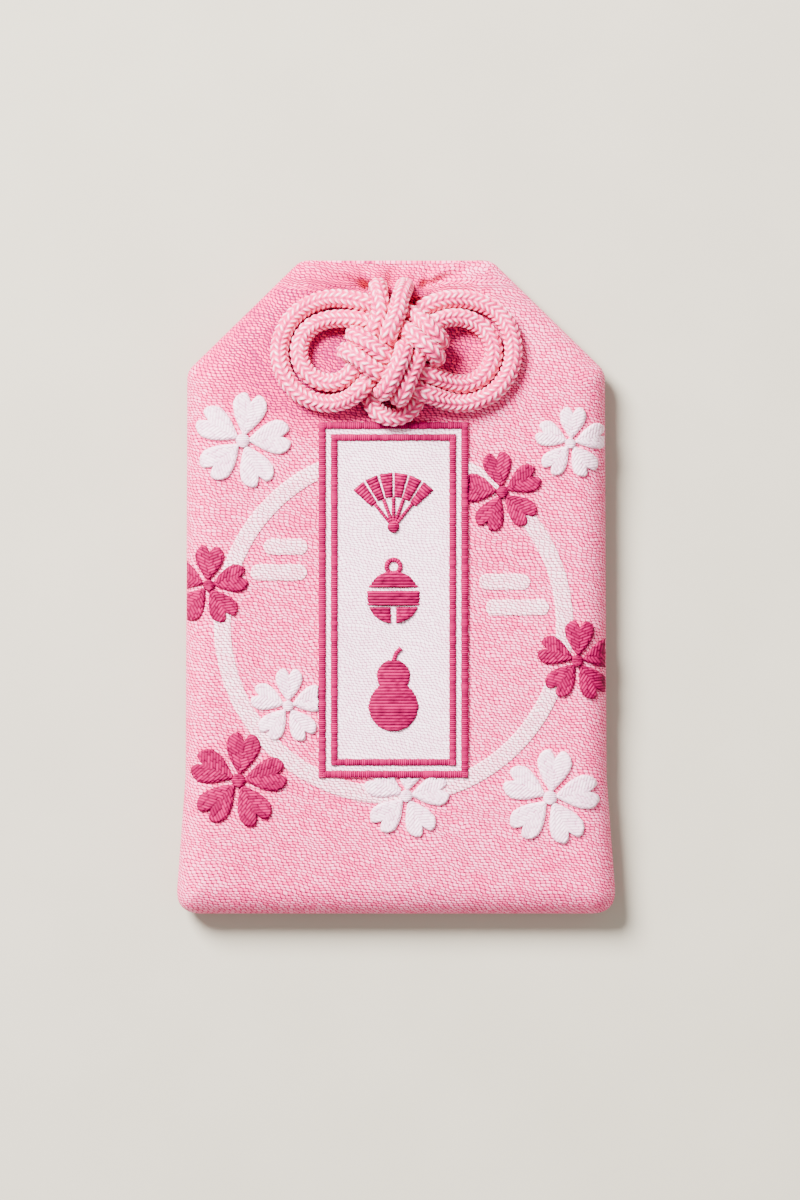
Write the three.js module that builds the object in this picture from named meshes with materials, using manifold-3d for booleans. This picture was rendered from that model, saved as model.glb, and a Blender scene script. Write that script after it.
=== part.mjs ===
// A small brocade charm pouch, lying on its back. X runs to the right, Y towards the mouth and the knot,
// and Z out of the embroidered front. Lengths are millimetres. The origin is under the middle of the pouch.
import * as THREE from "three";
import { mergeVertices } from "three/addons/utils/BufferGeometryUtils.js";
import Module from "manifold-3d";

const wasm = await Module();
wasm.setup();

// Pouch outline: a rectangle that widens a little at the foot and has its two top corners folded away.
const pouchLength = 76;
const footHalfWidth = 25.7;
const sideHalfWidth = 24.5;
const shoulderHalfWidth = 24.3;
const mouthHalfWidth = 11.1;
const flareHeight = 16;
const shoulderDrop = 12.9;
const footCornerRadius = 2.8;
const softCornerRadius = 2.2;
const flareCornerRadius = 9;

// Pouch section: two panels meet in a seam and the filled front stands higher than the flat back.
const clothThickness = 0.5;
const liningThickness = 0.25;
const seamHeight = 2.8;
const frontRise = 3.2;
const crownRise = 0.6;
const crownInset = 12;
const edgeRound = 3.3;
const backEdgeRound = 2.6;
const seatGap = 0.3;

// The pouch thins towards its mouth, where the cord draws the panels together.
const taperDrop = 17;
const taperEndDrop = 1;
const taperShare = 0.44;
const lipOpenShare = 0.36;
const lipDip = 0.6;
const lipReach = 5;
const lipSagShare = 0.85;
const recessRise = 2.3;
const recessHalfWidth = 11;
const recessDrop = 9.5;
const recessEndDrop = 5;

// Cord, its two holes and the knot.
const cordDiameter = 1.45;
const cordSpacing = 2.2;
const cordStep = 1.2;
const cordSides = 8;
const holeDrop = 2.9;
const leftHoleX = -2.1;
const rightHoleX = 1;
const holeClearance = 0.3;
const stubLength = 0.25;
const spanHeight = 1.15;
const spanBend = 0.9;
const knotX = 0.2;
const knotDrop = 10;
const knotTilt = -33 * THREE.MathUtils.DEG2RAD;
const restLift = 1.15;

// Inner pieces.
const cardThickness = 0.5;
const cardHeight = 3.4;
const cardInset = 4.5;
const cardDrop = 14;
const liningInset = 2;
const liningDrop = 9;
const backLiningInset = 4.7;
const backLiningDrop = 12.5;
const stepDownShare = 0.25;
const wadInset = 5.2;
const wadSlack = 0.2;
const slipWidth = 27;
const slipLength = 50;
const slipThickness = 1;
const slipCentreY = -5;
const wrapperWall = 0.2;
const wrapperRoom = 0.3;
const wrapperOverlap = 1.5;
const bandWidth = 5;
const bandWall = 0.15;
const bandY = -8;
const packageHeight = 1.1;
const foldInset = 4.2;
const foldDrop = 7;
const foldThickness = 0.4;
const threadDiameter = 0.4;
const threadInset = 1.05;
const threadDrop = 13.5;

// Embroidery: every stitched pad stands a little off the cloth.
const stitchHeight = 0.4;
const stitchEdge = 0.2;
const buttonRadius = 0.7;
const buttonHeight = 0.62;
const wrapLimit = 0.3;
const cutClearance = 0.3;
const cutOverrun = 5;
const ringX = -0.3;
const ringY = -4.4;
const ringRadius = 20;
const ringWidth = 2;
const mistWidth = 1.9;
const plaqueX = -0.3;
const plaqueY = -1.5;
const plaqueWidth = 17.5;
const plaqueLength = 41.6;
const groundThickness = 0.2;
const borderHeight = 0.35;
const outerBorder = 0.85;
const borderGap = 0.58;
const innerBorder = 0.8;
const motifHeight = 0.4;
const motifShares = [0.281, 0.007, -0.257];
const fanLeafRadius = 6.4;
const fanStickRadius = 3.5;
const fanStickWidth = 0.45;
const fanRivetRadius = 0.6;
const fanAngles = [0.23 * Math.PI, 0.77 * Math.PI];
const fanSticks = 5;
const bellRadius = 3.1;
const bellSlitWidth = 0.55;
const bellSlitLength = 2;
const bellBandGap = 0.35;
const bellEyeHeight = 0.55;
const hangerRadius = 1.1;
const hangerHole = 0.5;
const gourdFootRadius = 2.9;
const gourdHeadRadius = 1.95;
const gourdSpacing = 3.6;
const gourdWaistWidth = 1.6;
const gourdStalkWidth = 0.55;
const gourdStalkLength = 2.2;
const gourdStalkTurn = -0.5;

// Facets of round stretches.
const cornerSteps = 3;
const edgeSteps = 3;
const mouthSteps = 7;
const arcSteps = 24;
const smallArcSteps = 10;

const topY = pouchLength / 2;
const bottomY = -topY;
const shoulderY = topY - shoulderDrop;
const holeY = topY - holeDrop;
const knotY = topY - knotDrop;
const recessY = topY - recessDrop;
const taperY = topY - taperDrop;
const cardTop = topY - cardDrop;
const liningTop = topY - liningDrop;
const plateauHeight = seamHeight + frontRise + crownRise;
const cordRadius = cordDiameter / 2;
const holeXs = [leftHoleX, rightHoleX];
const plaqueCentre = [plaqueX, plaqueY];

const white = { color: 0xfbeff3, roughness: 0.5, metalness: 0 };
const magenta = { color: 0xd91a6c, roughness: 0.45, metalness: 0 };
const pink = { color: 0xf3a3b8, roughness: 0.6, metalness: 0 };
const palePink = { color: 0xf8bccb, roughness: 0.45, metalness: 0 };
const liningPink = { color: 0xe98fa8, roughness: 0.8, metalness: 0 };
const paper = { color: 0xf4efe6, roughness: 0.85, metalness: 0 };
const wood = { color: 0xd9b98a, roughness: 0.7, metalness: 0 };
const wool = { color: 0xf2f0ec, roughness: 0.95, metalness: 0 };

// Right half of the outline, from the foot up: place and corner radius.
const rightCorners = [
  [footHalfWidth, bottomY, footCornerRadius],
  [sideHalfWidth, bottomY + flareHeight, flareCornerRadius],
  [shoulderHalfWidth, shoulderY, softCornerRadius],
  [mouthHalfWidth, topY, softCornerRadius],
];
const leftCorners = rightCorners.map(([x, y, r]) => [-x, y, r]).reverse();
const corners = [...rightCorners, ...leftCorners];

// Each side of the outline as a line: its outward normal, its reach along that normal, and whether it is
// the mouth.
const sides = corners.map(([x, y], i) => {
  const [nextX, nextY] = corners[(i + 1) % corners.length];
  const normal = new THREE.Vector2(nextY - y, x - nextX).normalize();
  return { normal, reach: normal.x * x + normal.y * y, top: y === topY && nextY === topY };
});

const clamp01 = (value) => Math.min(Math.max(value, 0), 1);
const smooth = (value) => clamp01(value) ** 2 * (3 - 2 * clamp01(value));
const quarterRound = (share) => Math.sqrt(1 - (1 - clamp01(share)) ** 2);

const cross = (a, b) => a.x * b.y - a.y * b.x;

// The widening foot bends each flank inwards, so the two lines that meet in such a bend count as one.
const flanks = sides.reduce((groups, side, i) => {
  const before = sides[(i + sides.length - 1) % sides.length];
  if (cross(before.normal, side.normal) < 0) groups[groups.length - 1].push(side);
  else groups.push([side]);
  return groups;
}, []);

// How far inside the outline a place is, and the outward normal of the side that is nearest to it.
function nearestSide(x, y) {
  const reached = flanks.map((lines) => {
    const measured = lines.map(({ normal, reach }) => {
      return { inset: reach - normal.x * x - normal.y * y, normal };
    });
    return measured.reduce((a, b) => (b.inset > a.inset ? b : a));
  });
  return reached.reduce((a, b) => (b.inset < a.inset ? b : a));
}

// Corner i of the outline after every side has moved inwards, the mouth side down to the height top.
function insetCorner(i, inset, top) {
  const before = sides[(i + sides.length - 1) % sides.length];
  const after = sides[i];
  const reachBefore = before.top ? top : before.reach - inset;
  const reachAfter = after.top ? top : after.reach - inset;
  const turn = cross(before.normal, after.normal);
  return new THREE.Vector2(
    (reachBefore * after.normal.y - reachAfter * before.normal.y) / turn,
    (reachAfter * before.normal.x - reachBefore * after.normal.x) / turn,
  );
}

// The outline moved inwards, as points with the same count for every inset.
function outline(inset, top = topY - inset) {
  const points = [];
  const sharp = corners.map((_, i) => insetCorner(i, inset, top));
  const rounded = sharp.map((corner, i) => {
    const before = sharp[(i + sharp.length - 1) % sharp.length];
    const after = sharp[(i + 1) % sharp.length];
    const toBefore = before.clone().sub(corner);
    const toAfter = after.clone().sub(corner);
    const halfTurn = (Math.PI - toBefore.angleTo(toAfter)) / 2;
    const room = Math.min(toBefore.length(), toAfter.length()) / 3;
    const tangent = Math.min(Math.max(corners[i][2] - inset, threadDiameter) * Math.tan(halfTurn), room);
    const from = corner.clone().add(toBefore.setLength(tangent));
    const to = corner.clone().add(toAfter.setLength(tangent));
    return new THREE.QuadraticBezierCurve(from, corner, to).getPoints(cornerSteps);
  });
  rounded.forEach((arc, i) => {
    const next = rounded[(i + 1) % rounded.length][0];
    const steps = sides[i].top ? mouthSteps : edgeSteps;
    points.push(...arc);
    for (let step = 1; step < steps; step += 1) {
      points.push(arc[cornerSteps].clone().lerp(next, step / steps));
    }
  });
  return points;
}

// Height of the front, or of the same skin at a depth under it. A negative depth lies above the cloth.
function frontHeight(x, y, depth = 0, { inset } = nearestSide(x, y)) {
  const across = smooth(2 - (2 * Math.abs(x)) / mouthHalfWidth);
  const mouth = across * smooth((y - recessY) / recessDrop);
  const share = clamp01((inset - depth) / (edgeRound - depth));
  const opened = 1 - (1 - share) * (1 - lipOpenShare * mouth);
  const crown = crownRise * (1 - (1 - clamp01(inset / crownInset)) ** 2);
  const full = (frontRise - depth) * quarterRound(opened) + crown;
  return seamHeight + full * (1 - taperShare * smooth((y - taperY) / (taperDrop - taperEndDrop)));
}

// Height of the back at a depth inside its outer skin, with the recess that the cord's span lies in.
function backHeight(x, y, depth = 0, { inset } = nearestSide(x, y)) {
  const bend = quarterRound((inset - depth) / (backEdgeRound - depth));
  const across = smooth(2 - (2 * Math.abs(x)) / recessHalfWidth);
  const recess = recessRise * across * smooth((y - recessY) / (recessDrop - recessEndDrop));
  return seamHeight - (seamHeight - depth - recess) * bend;
}

// The front panel's lip sags at the middle of the mouth.
function sagLip({ x, y }) {
  const across = Math.max(1 - (x / (mouthHalfWidth * lipSagShare)) ** 2, 0);
  return new THREE.Vector2(x, y - lipDip * across * smooth((y - topY + lipReach) / lipReach));
}

// One ring of a skin: an inset outline lifted to a height function.
function skinRing(inset, height, { depth = 0, top = topY - inset, shape = (point) => point } = {}) {
  return outline(inset, top).map((point) => {
    const placed = shape(point);
    return new THREE.Vector3(placed.x, placed.y, height(point.x, point.y, depth, { inset }));
  });
}

function flatRing(points, z) {
  return points.map(({ x, y }) => new THREE.Vector3(x, y, z));
}

// A closed body from rings with equal counts. Both ends close with a fan round the ring's middle.
function loft(rings) {
  const count = rings[0].length;
  const positions = [];
  const index = [];
  rings.forEach((ring) => ring.forEach((point) => positions.push(point.x, point.y, point.z)));
  for (let r = 0; r + 1 < rings.length; r += 1) {
    for (let i = 0; i < count; i += 1) {
      const a = r * count + i;
      const b = r * count + ((i + 1) % count);
      index.push(a, b, b + count, a, b + count, a + count);
    }
  }
  [rings[0], rings[rings.length - 1]].forEach((ring, end) => {
    const middle = ring.reduce((sum, point) => sum.add(point), new THREE.Vector3()).divideScalar(count);
    const centre = positions.length / 3;
    const first = end * (rings.length - 1) * count;
    positions.push(middle.x, middle.y, middle.z);
    for (let i = 0; i < count; i += 1) {
      const pair = [first + i, first + ((i + 1) % count)];
      index.push(centre, pair[1 - end], pair[end]);
    }
  });
  return outward(positions, index);
}

// A geometry from points and triangles, turned so that its faces point out.
function outward(positions, index) {
  let volume = 0;
  const corner = (i) => new THREE.Vector3().fromArray(positions, index[i] * 3);
  for (let i = 0; i < index.length; i += 3) {
    volume += corner(i).dot(corner(i + 1).cross(corner(i + 2)));
  }
  if (volume < 0) index.reverse();
  const geometry = new THREE.BufferGeometry();
  geometry.setAttribute("position", new THREE.Float32BufferAttribute(positions, 3));
  geometry.setIndex(index);
  return geometry;
}

function toSolid(geometry) {
  const bare = geometry.clone();
  bare.deleteAttribute("normal");
  bare.deleteAttribute("uv");
  const merged = mergeVertices(bare);
  return new wasm.Manifold(
    new wasm.Mesh({
      numProp: 3,
      vertProperties: new Float32Array(merged.attributes.position.array),
      triVerts: new Uint32Array(merged.index.array),
    }),
  );
}

function toGeometry(solid) {
  const { vertProperties, triVerts } = solid.getMesh();
  const geometry = new THREE.BufferGeometry();
  geometry.setAttribute("position", new THREE.BufferAttribute(vertProperties, 3));
  geometry.setIndex(new THREE.BufferAttribute(triVerts, 1));
  return geometry;
}

function cut(geometry, tools) {
  return toGeometry(tools.reduce((solid, tool) => solid.subtract(toSolid(tool)), toSolid(geometry)));
}

function join(geometries) {
  const [first, ...others] = geometries.map(toSolid);
  return toGeometry(others.reduce((sum, next) => sum.add(next), first));
}

function slab(shape, bottom, thickness) {
  const settings = { depth: thickness, bevelEnabled: false, curveSegments: smallArcSteps };
  return new THREE.ExtrudeGeometry(shape, settings).translate(0, 0, bottom);
}

function rectangle(width, length, [x, y] = [0, 0]) {
  const shape = new THREE.Shape();
  shape.moveTo(x - width / 2, y - length / 2);
  shape.lineTo(x + width / 2, y - length / 2);
  shape.lineTo(x + width / 2, y + length / 2);
  shape.lineTo(x - width / 2, y + length / 2);
  shape.closePath();
  return shape;
}

const root = new THREE.Group();

function add(name, geometry, finish, parent = root) {
  const mesh = new THREE.Mesh(geometry, new THREE.MeshStandardMaterial(finish));
  mesh.name = name;
  parent.add(mesh);
  return mesh;
}

// A hole through both panels at each leg of the cord.
function holeTools() {
  const radius = cordRadius + holeClearance;
  return holeXs.map((x) => {
    const bore = new THREE.CylinderGeometry(radius, radius, pouchLength, cordSides * 2);
    return bore.rotateX(Math.PI / 2).translate(x, holeY, 0);
  });
}

function frontPanel() {
  const outerInsets = [0, 0.12, 0.36, 0.66, 1].map((share) => share * edgeRound);
  const turn = edgeRound - clothThickness;
  const innerInsets = [0, 0.14, 0.45, 0.9].map((share) => clothThickness + share * turn);
  const broadInsets = [0.5, 0.75].map((share) => share * crownInset);
  const inner = [...innerInsets, ...broadInsets].map((inset) =>
    skinRing(inset, frontHeight, { depth: clothThickness, shape: sagLip }),
  );
  inner.push(skinRing(crownInset, frontHeight, { depth: clothThickness, top: taperY }));
  const outer = [...outerInsets, ...broadInsets].map((inset) => {
    return skinRing(inset, frontHeight, { shape: sagLip });
  });
  outer.push(skinRing(crownInset, frontHeight, { top: taperY }));
  return cut(loft([...inner.reverse(), ...outer]), holeTools());
}

function backPanel() {
  const outerInsets = [0, 0.14, 0.4, 0.7, 1].map((share) => share * backEdgeRound);
  const turn = backEdgeRound - clothThickness;
  const innerInsets = [0, 0.2, 0.5, 1].map((share) => clothThickness + share * turn);
  const broadInsets = [0.45, 0.75].map((share) => share * crownInset);
  const ringAt = (depth) => (inset) => skinRing(inset, backHeight, { depth });
  const inner = [...innerInsets, ...broadInsets].map(ringAt(clothThickness));
  inner.push(skinRing(crownInset, backHeight, { depth: clothThickness }));
  const outer = [...outerInsets, ...broadInsets].map(ringAt(0));
  outer.push(skinRing(crownInset, backHeight));
  return cut(loft([...inner.reverse(), ...outer]), holeTools());
}

function frontLining() {
  const insets = [liningInset, edgeRound, crownInset / 2, (3 * crownInset) / 4, crownInset];
  const outerDepth = clothThickness + seatGap;
  const stepDown = (inset) => liningTop - (inset - liningInset) * stepDownShare;
  const ringAt = (depth) => (inset) => skinRing(inset, frontHeight, { depth, top: stepDown(inset) });
  const inner = insets.map(ringAt(outerDepth + liningThickness));
  return loft([...inner.reverse(), ...insets.map(ringAt(outerDepth))]);
}

function backLining() {
  const shape = new THREE.Shape(outline(backLiningInset, topY - backLiningDrop));
  return slab(shape, clothThickness, liningThickness);
}

function stiffenerCard() {
  return slab(new THREE.Shape(outline(cardInset, cardTop)), cardHeight, cardThickness);
}

// The wadding is flat where it lies on the card and follows the crown of the lining above it.
function waddingPad() {
  const depth = clothThickness + liningThickness + 2 * seatGap + wadSlack;
  const insets = [wadInset, (wadInset + crownInset) / 2, crownInset];
  const floor = cardHeight + cardThickness;
  const base = flatRing(outline(wadInset, cardTop), floor);
  const stepDown = (inset) => cardTop - (inset - wadInset) * stepDownShare;
  const ringAt = (inset) => skinRing(inset, frontHeight, { depth, top: stepDown(inset) });
  return loft([base, ...insets.map(ringAt)]);
}

// The charm itself: a thin slip inside folded paper, held shut by a narrow band.
function talismanPackage() {
  const wrapperBottom = packageHeight + bandWall;
  const wrapperDepth = slipThickness + wrapperRoom + 2 * wrapperWall;
  const wrapperWidth = slipWidth + 2 * (wrapperRoom + wrapperWall);
  const wrapperLength = slipLength + 2 * wrapperOverlap;
  const sleeve = (name, [width, depth, length], wall, [x, y, bottom], finish) => {
    const shape = rectangle(width + 2 * wall, depth + 2 * wall);
    shape.holes.push(rectangle(width, depth));
    const geometry = new THREE.ExtrudeGeometry(shape, { depth: length, bevelEnabled: false });
    geometry.translate(0, 0, -length / 2).rotateX(Math.PI / 2);
    const mesh = add(name, geometry, finish);
    mesh.position.set(x, y, bottom + depth / 2 + wall);
  };
  const slip = add("talisman_slip", slab(rectangle(slipWidth, slipLength), 0, slipThickness), wood);
  slip.position.set(0, slipCentreY, wrapperBottom + wrapperWall);
  const inside = slipThickness + wrapperRoom;
  const insideWidth = slipWidth + 2 * wrapperRoom;
  const wrapperInside = [insideWidth, inside, wrapperLength];
  const bandInside = [wrapperWidth, wrapperDepth, bandWidth];
  sleeve("talisman_wrapper", wrapperInside, wrapperWall, [0, slipCentreY, wrapperBottom], paper);
  sleeve("wrapper_band", bandInside, bandWall, [0, bandY, packageHeight], magenta);
}

// The corner that was folded in behind each slanted side, as a flat triangle.
function cornerFold(side) {
  const top = topY - foldDrop;
  const chamfer = [insetCorner(2, foldInset, top), insetCorner(3, foldInset, top)];
  const inner = new THREE.Vector2(chamfer[1].x, chamfer[0].y);
  const points = [...chamfer, inner].map(({ x, y }) => new THREE.Vector2(side * x, y));
  const shape = new THREE.Shape(points);
  return slab(shape, clothThickness + liningThickness + seatGap, foldThickness);
}

// A tube of one radius along a curve, with flat ends.
function tube(curve, radius, steps, segments) {
  const section = new THREE.Shape();
  for (let i = 0; i < segments; i += 1) {
    const angle = (2 * Math.PI * i) / segments;
    section[i ? "lineTo" : "moveTo"](radius * Math.cos(angle), radius * Math.sin(angle));
  }
  section.closePath();
  return new THREE.ExtrudeGeometry(section, { extrudePath: curve, steps, bevelEnabled: false });
}

// The sewing thread runs just inside the seam, down one side, along the foot and up the other.
function seamThread() {
  const points = outline(threadInset).filter(({ y }) => y < topY - threadDrop);
  const start = points.findIndex(({ x }, i) => i > 0 && x < 0 && points[i - 1].y > 0 && points[i - 1].x > 0);
  const ordered = start > 0 ? [...points.slice(start), ...points.slice(0, start)] : points;
  const route = ordered.map(({ x, y }) => new THREE.Vector3(x, y, seamHeight));
  return tube(new THREE.CatmullRomCurve3(route), threadDiameter / 2, route.length, cordSides - 2);
}

// The knot swings on its two leg ends, so each stub of the span stops short of the ball that a leg ends in.
const stubTop = frontHeight(leftHoleX, holeY) + stubLength;
const legLift = stubLength + seatGap + cordRadius;

// The part of the cord that the pouch holds: in at one hole, across the back and out at the other.
function cordSpan() {
  const [left, right] = holeXs;
  const route = [
    [left, stubTop],
    [left, (stubTop + spanHeight) / 2],
    [left, spanHeight + spanBend],
    [left + spanBend, spanHeight],
    [right - spanBend, spanHeight],
    [right, spanHeight + spanBend],
    [right, (stubTop + spanHeight) / 2],
    [right, stubTop],
  ].map(([x, z]) => new THREE.Vector3(x, holeY, z));
  return tube(new THREE.CatmullRomCurve3(route, false, "centripetal"), cordRadius, arcSteps, cordSides);
}

// Places in the crown of the knot lie in its own slanted frame: across, along and above the cloth.
function crown(across, along, lift) {
  const place = new THREE.Vector2(across, along).rotateAround(new THREE.Vector2(), knotTilt);
  return [knotX + place.x, knotY + place.y, lift];
}

// Places in the ears, the foot loop and the legs: right of and above the knot's middle, and above the cloth.
function around(right, up, lift) {
  return [knotX + right, knotY + up, lift];
}

// Under, middle and over: the three layers that the cord passes through, above the cloth.
const under = 1.2;
const middle = 3.1;
const over = 5;

// The cord's route, drawn by hand. Each leg comes out of its hole, crosses the crown four times with the
// other passes, and makes two round ears on each side and one small loop at the foot.
const route = [
  [leftHoleX, holeY, legLift],
  around(-2.35, 6.9, 2.4),
  around(-2.55, 6, 4),
  crown(-3.75, 3.1, over),
  crown(-3.5, 1.2, over),
  crown(-3, -0.4, 4),
  crown(-2.6, -1.6, middle),
  crown(-2.7, -3.3, middle),
  around(-5.8, -3.8, 2.3),
  around(-7.9, -4.4, 1.5),
  around(-10.6, -3.3, restLift),
  around(-11.8, -0.5, restLift),
  around(-10.6, 2.3, restLift),
  around(-7.9, 3.4, 1.5),
  around(-5.4, 3.2, 2.3),
  crown(-3.6, 1.3, middle),
  crown(-1.7, 1.2, middle),
  crown(-0.6, 1.2, 4.2),
  crown(0.6, 1.2, over),
  crown(2.2, 1.1, over),
  crown(3.6, 1, 4.4),
  crown(3.9, 0.9, middle),
  crown(3.7, 0.6, 1.7),
  crown(3.6, -0.6, under),
  crown(4.4, -1.8, under),
  around(2.7, -5.1, under),
  around(1.9, -6.8, under),
  around(0.6, -7.8, under),
  around(-0.7, -8, under),
  around(-2.1, -7.7, under),
  around(-3.2, -6.5, under),
  around(-3.4, -5.2, under),
  crown(-1.4, -5.1, under),
  crown(-2.8, -4.5, under),
  crown(-4, -3.6, 1.8),
  crown(-4.5, -3.2, middle),
  crown(-4.1, -3, 4.5),
  crown(-2.6, -2.9, over),
  crown(-0.8, -2.9, over),
  crown(0.2, -2.8, 4),
  crown(1.2, -2.7, middle),
  crown(2.8, -2.7, middle),
  around(3.4, -5.1, 2.8),
  around(5.2, -6.3, 1.9),
  around(7.7, -6.7, restLift),
  around(11.3, -5.4, restLift),
  around(13.6, -1.4, restLift),
  around(12.4, 3.6, restLift),
  around(8.7, 5.6, restLift),
  around(5.4, 5.6, 1.9),
  crown(-0.9, 5.4, 2.9),
  crown(-0.1, 3.3, middle),
  crown(0, 1.4, middle),
  crown(0.3, 0, 4),
  crown(0.45, -1, over),
  crown(0.5, -2.6, over),
  crown(0.6, -4.1, 4.4),
  crown(0.5, -4.5, middle),
  crown(0.2, -4, 1.7),
  crown(-0.5, -2.6, under),
  crown(-1.5, -1.4, under),
  crown(-3.3, -1, 1.3),
  crown(-4.3, -1, 2),
  crown(-4.5, -1, middle),
  crown(-4.1, -1, 4.5),
  crown(-2.6, -1, over),
  crown(-0.9, -0.9, over),
  crown(0.2, -0.8, 3.4),
  crown(1.2, -0.7, middle),
  crown(2.8, -0.6, middle),
  around(4.2, -3, 2.8),
  around(5.6, -4, 1.9),
  around(7.7, -4.6, restLift),
  around(10.2, -3.5, restLift),
  around(11.5, -0.5, restLift),
  around(10.2, 2.3, restLift),
  around(7.8, 3.5, 1.5),
  around(5.6, 3.6, 2.3),
  crown(1.6, 3.3, middle),
  crown(2, 1.3, middle),
  crown(2.3, -0.2, 4),
  crown(2.5, -1.2, over),
  crown(2.7, -2.6, over),
  crown(2.9, -4, 4.4),
  crown(2.8, -4.5, middle),
  crown(2.5, -4, 1.7),
  crown(1.9, -2.6, under),
  crown(1.2, -0.6, under),
  crown(1.2, 1.4, under),
  crown(2.2, 2.8, under),
  crown(3.5, 3.1, 1.8),
  crown(3.9, 3.1, middle),
  crown(3.5, 3.1, 4.5),
  crown(2, 3.1, over),
  crown(0.5, 3.1, over),
  crown(-0.7, 3.1, 4),
  crown(-1.9, 3.1, middle),
  crown(-3.8, 3.3, middle),
  around(-6, 5.7, 2.3),
  around(-8.8, 5.7, restLift),
  around(-12.6, 3.4, restLift),
  around(-14, -1, restLift),
  around(-12.1, -5.1, restLift),
  around(-8.4, -6.8, restLift),
  around(-5.4, -6.1, 1.9),
  around(-3.5, -4.6, 2.8),
  crown(-0.7, -3.2, middle),
  crown(-0.7, -1.4, middle),
  crown(-1.2, -0.2, 4),
  crown(-1.4, 1.2, over),
  crown(-1.7, 3.1, over),
  around(0.5, 5.9, 4.2),
  around(0.75, 6.8, 2.5),
  [rightHoleX, holeY, legLift],
];

// How the cord settles: each pass pushes touching turns apart, keeps bends round and pulls towards the route.
const settlePasses = 800;
const settleStep = 0.6;
const pushShare = 0.12;
const evenShare = 0.06;
const roundShare = 0.3;
const holdShare = 0.01;
const reachShare = 1.6;
const fixedEnds = 2;

function evenPoints(points, step) {
  const curve = new THREE.CatmullRomCurve3(points, false, "centripetal");
  curve.arcLengthDivisions = points.length * arcSteps;
  curve.updateArcLengths();
  return curve.getSpacedPoints(Math.round(curve.getLength() / step));
}

// Pushes that keep every two passes of the cord at least one spacing apart.
function separate(points) {
  const moves = points.map(() => new THREE.Vector3());
  const skip = Math.round((reachShare * cordSpacing) / settleStep);
  for (let i = 0; i < points.length; i += 1) {
    for (let j = i + skip; j < points.length; j += 1) {
      const apart = points[i].distanceTo(points[j]);
      if (apart < cordSpacing) {
        const push = points[i].clone().sub(points[j]).setLength(pushShare * (cordSpacing - apart));
        moves[i].add(push);
        moves[j].sub(push);
      }
    }
  }
  return moves;
}

function settleCord(drawn) {
  const start = evenPoints(drawn, settleStep);
  let points = start.map((point) => point.clone());
  for (let pass = 0; pass < settlePasses; pass += 1) {
    const moves = separate(points);
    points = points.map((point, i) => {
      if (i < fixedEnds || i >= points.length - fixedEnds) return point;
      const near = points[i - 1].clone().add(points[i + 1]);
      const far = points[i - 2].clone().add(points[i + 2]);
      const even = near.clone().divideScalar(2).sub(point);
      const round = near.multiplyScalar(4).sub(far).divideScalar(6).sub(point);
      const moved = point.clone().add(moves[i]).addScaledVector(even, evenShare);
      moved.addScaledVector(round, roundShare).addScaledVector(start[i].clone().sub(point), holdShare);
      moved.z = Math.max(moved.z, restLift);
      return moved;
    });
  }
  return points;
}

// Least centre distance between two stretches of the cord that are not neighbours along it.
function leastSpacing(points, step) {
  const skip = Math.round((reachShare * cordSpacing) / step);
  let least = Infinity;
  points.forEach((point, i) => {
    for (let j = i + skip; j < points.length; j += 1) least = Math.min(least, point.distanceTo(points[j]));
  });
  return least;
}

// Rings of a tube along even points, with a round end at both ends.
function cordRings(points) {
  const curve = new THREE.CatmullRomCurve3(points, false, "centripetal");
  const { normals, binormals, tangents } = curve.computeFrenetFrames(points.length - 1);
  const ringAt = (i, share, ahead) =>
    Array.from({ length: cordSides }, (_, side) => {
      const angle = (2 * Math.PI * side) / cordSides;
      const around = normals[i].clone().multiplyScalar(Math.cos(angle));
      around.addScaledVector(binormals[i], Math.sin(angle)).multiplyScalar(cordRadius * share);
      return points[i].clone().add(around).addScaledVector(tangents[i], ahead * cordRadius);
    });
  const last = points.length - 1;
  const roundShares = [0.94, 0.7];
  const start = roundShares.map((ahead) => ringAt(0, Math.sqrt(1 - ahead * ahead), -ahead));
  const end = roundShares.map((ahead) => ringAt(last, Math.sqrt(1 - ahead * ahead), ahead)).reverse();
  return [...start, ...points.map((_, i) => ringAt(i, 1, 0)), ...end];
}

function knotCord() {
  const drawn = route.map(([x, y, z]) => new THREE.Vector3(x, y, z));
  const settled = settleCord(drawn);
  settled.forEach((point) => {
    point.z += frontHeight(point.x, point.y);
  });
  const points = evenPoints(settled, cordStep);
  const gap = leastSpacing(evenPoints(settled, settleStep / 2), settleStep / 2) - cordDiameter;
  const length = points.length * cordStep;
  console.log("knot cord: least gap to itself", gap.toFixed(3), "mm, over", length.toFixed(0), "mm of cord");
  return loft(cordRings(points));
}

// Keeps a stitched point on the face of the pouch, at or inside the turn of its edge.
function holdOnFront({ x, y }) {
  const { inset, normal } = nearestSide(x, y);
  const inward = Math.max(wrapLimit - inset, 0);
  return new THREE.Vector2(x, y).addScaledVector(normal, -inward);
}

function drape(points, lift) {
  return points.map(holdOnFront).map(({ x, y }) => new THREE.Vector3(x, y, frontHeight(x, y, -lift)));
}

// Half a petal, as shares of its angle and of the blossom's radius, from its notch to the next petal.
const petalShares = [
  [0, 0.84],
  [0.3, 1],
  [0.62, 0.94],
  [0.85, 0.7],
];
const petalGapShare = 0.3;
const underShares = [0.45, 0.78, 1];
const crestShare = 0.65;
const petals = 5;

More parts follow.
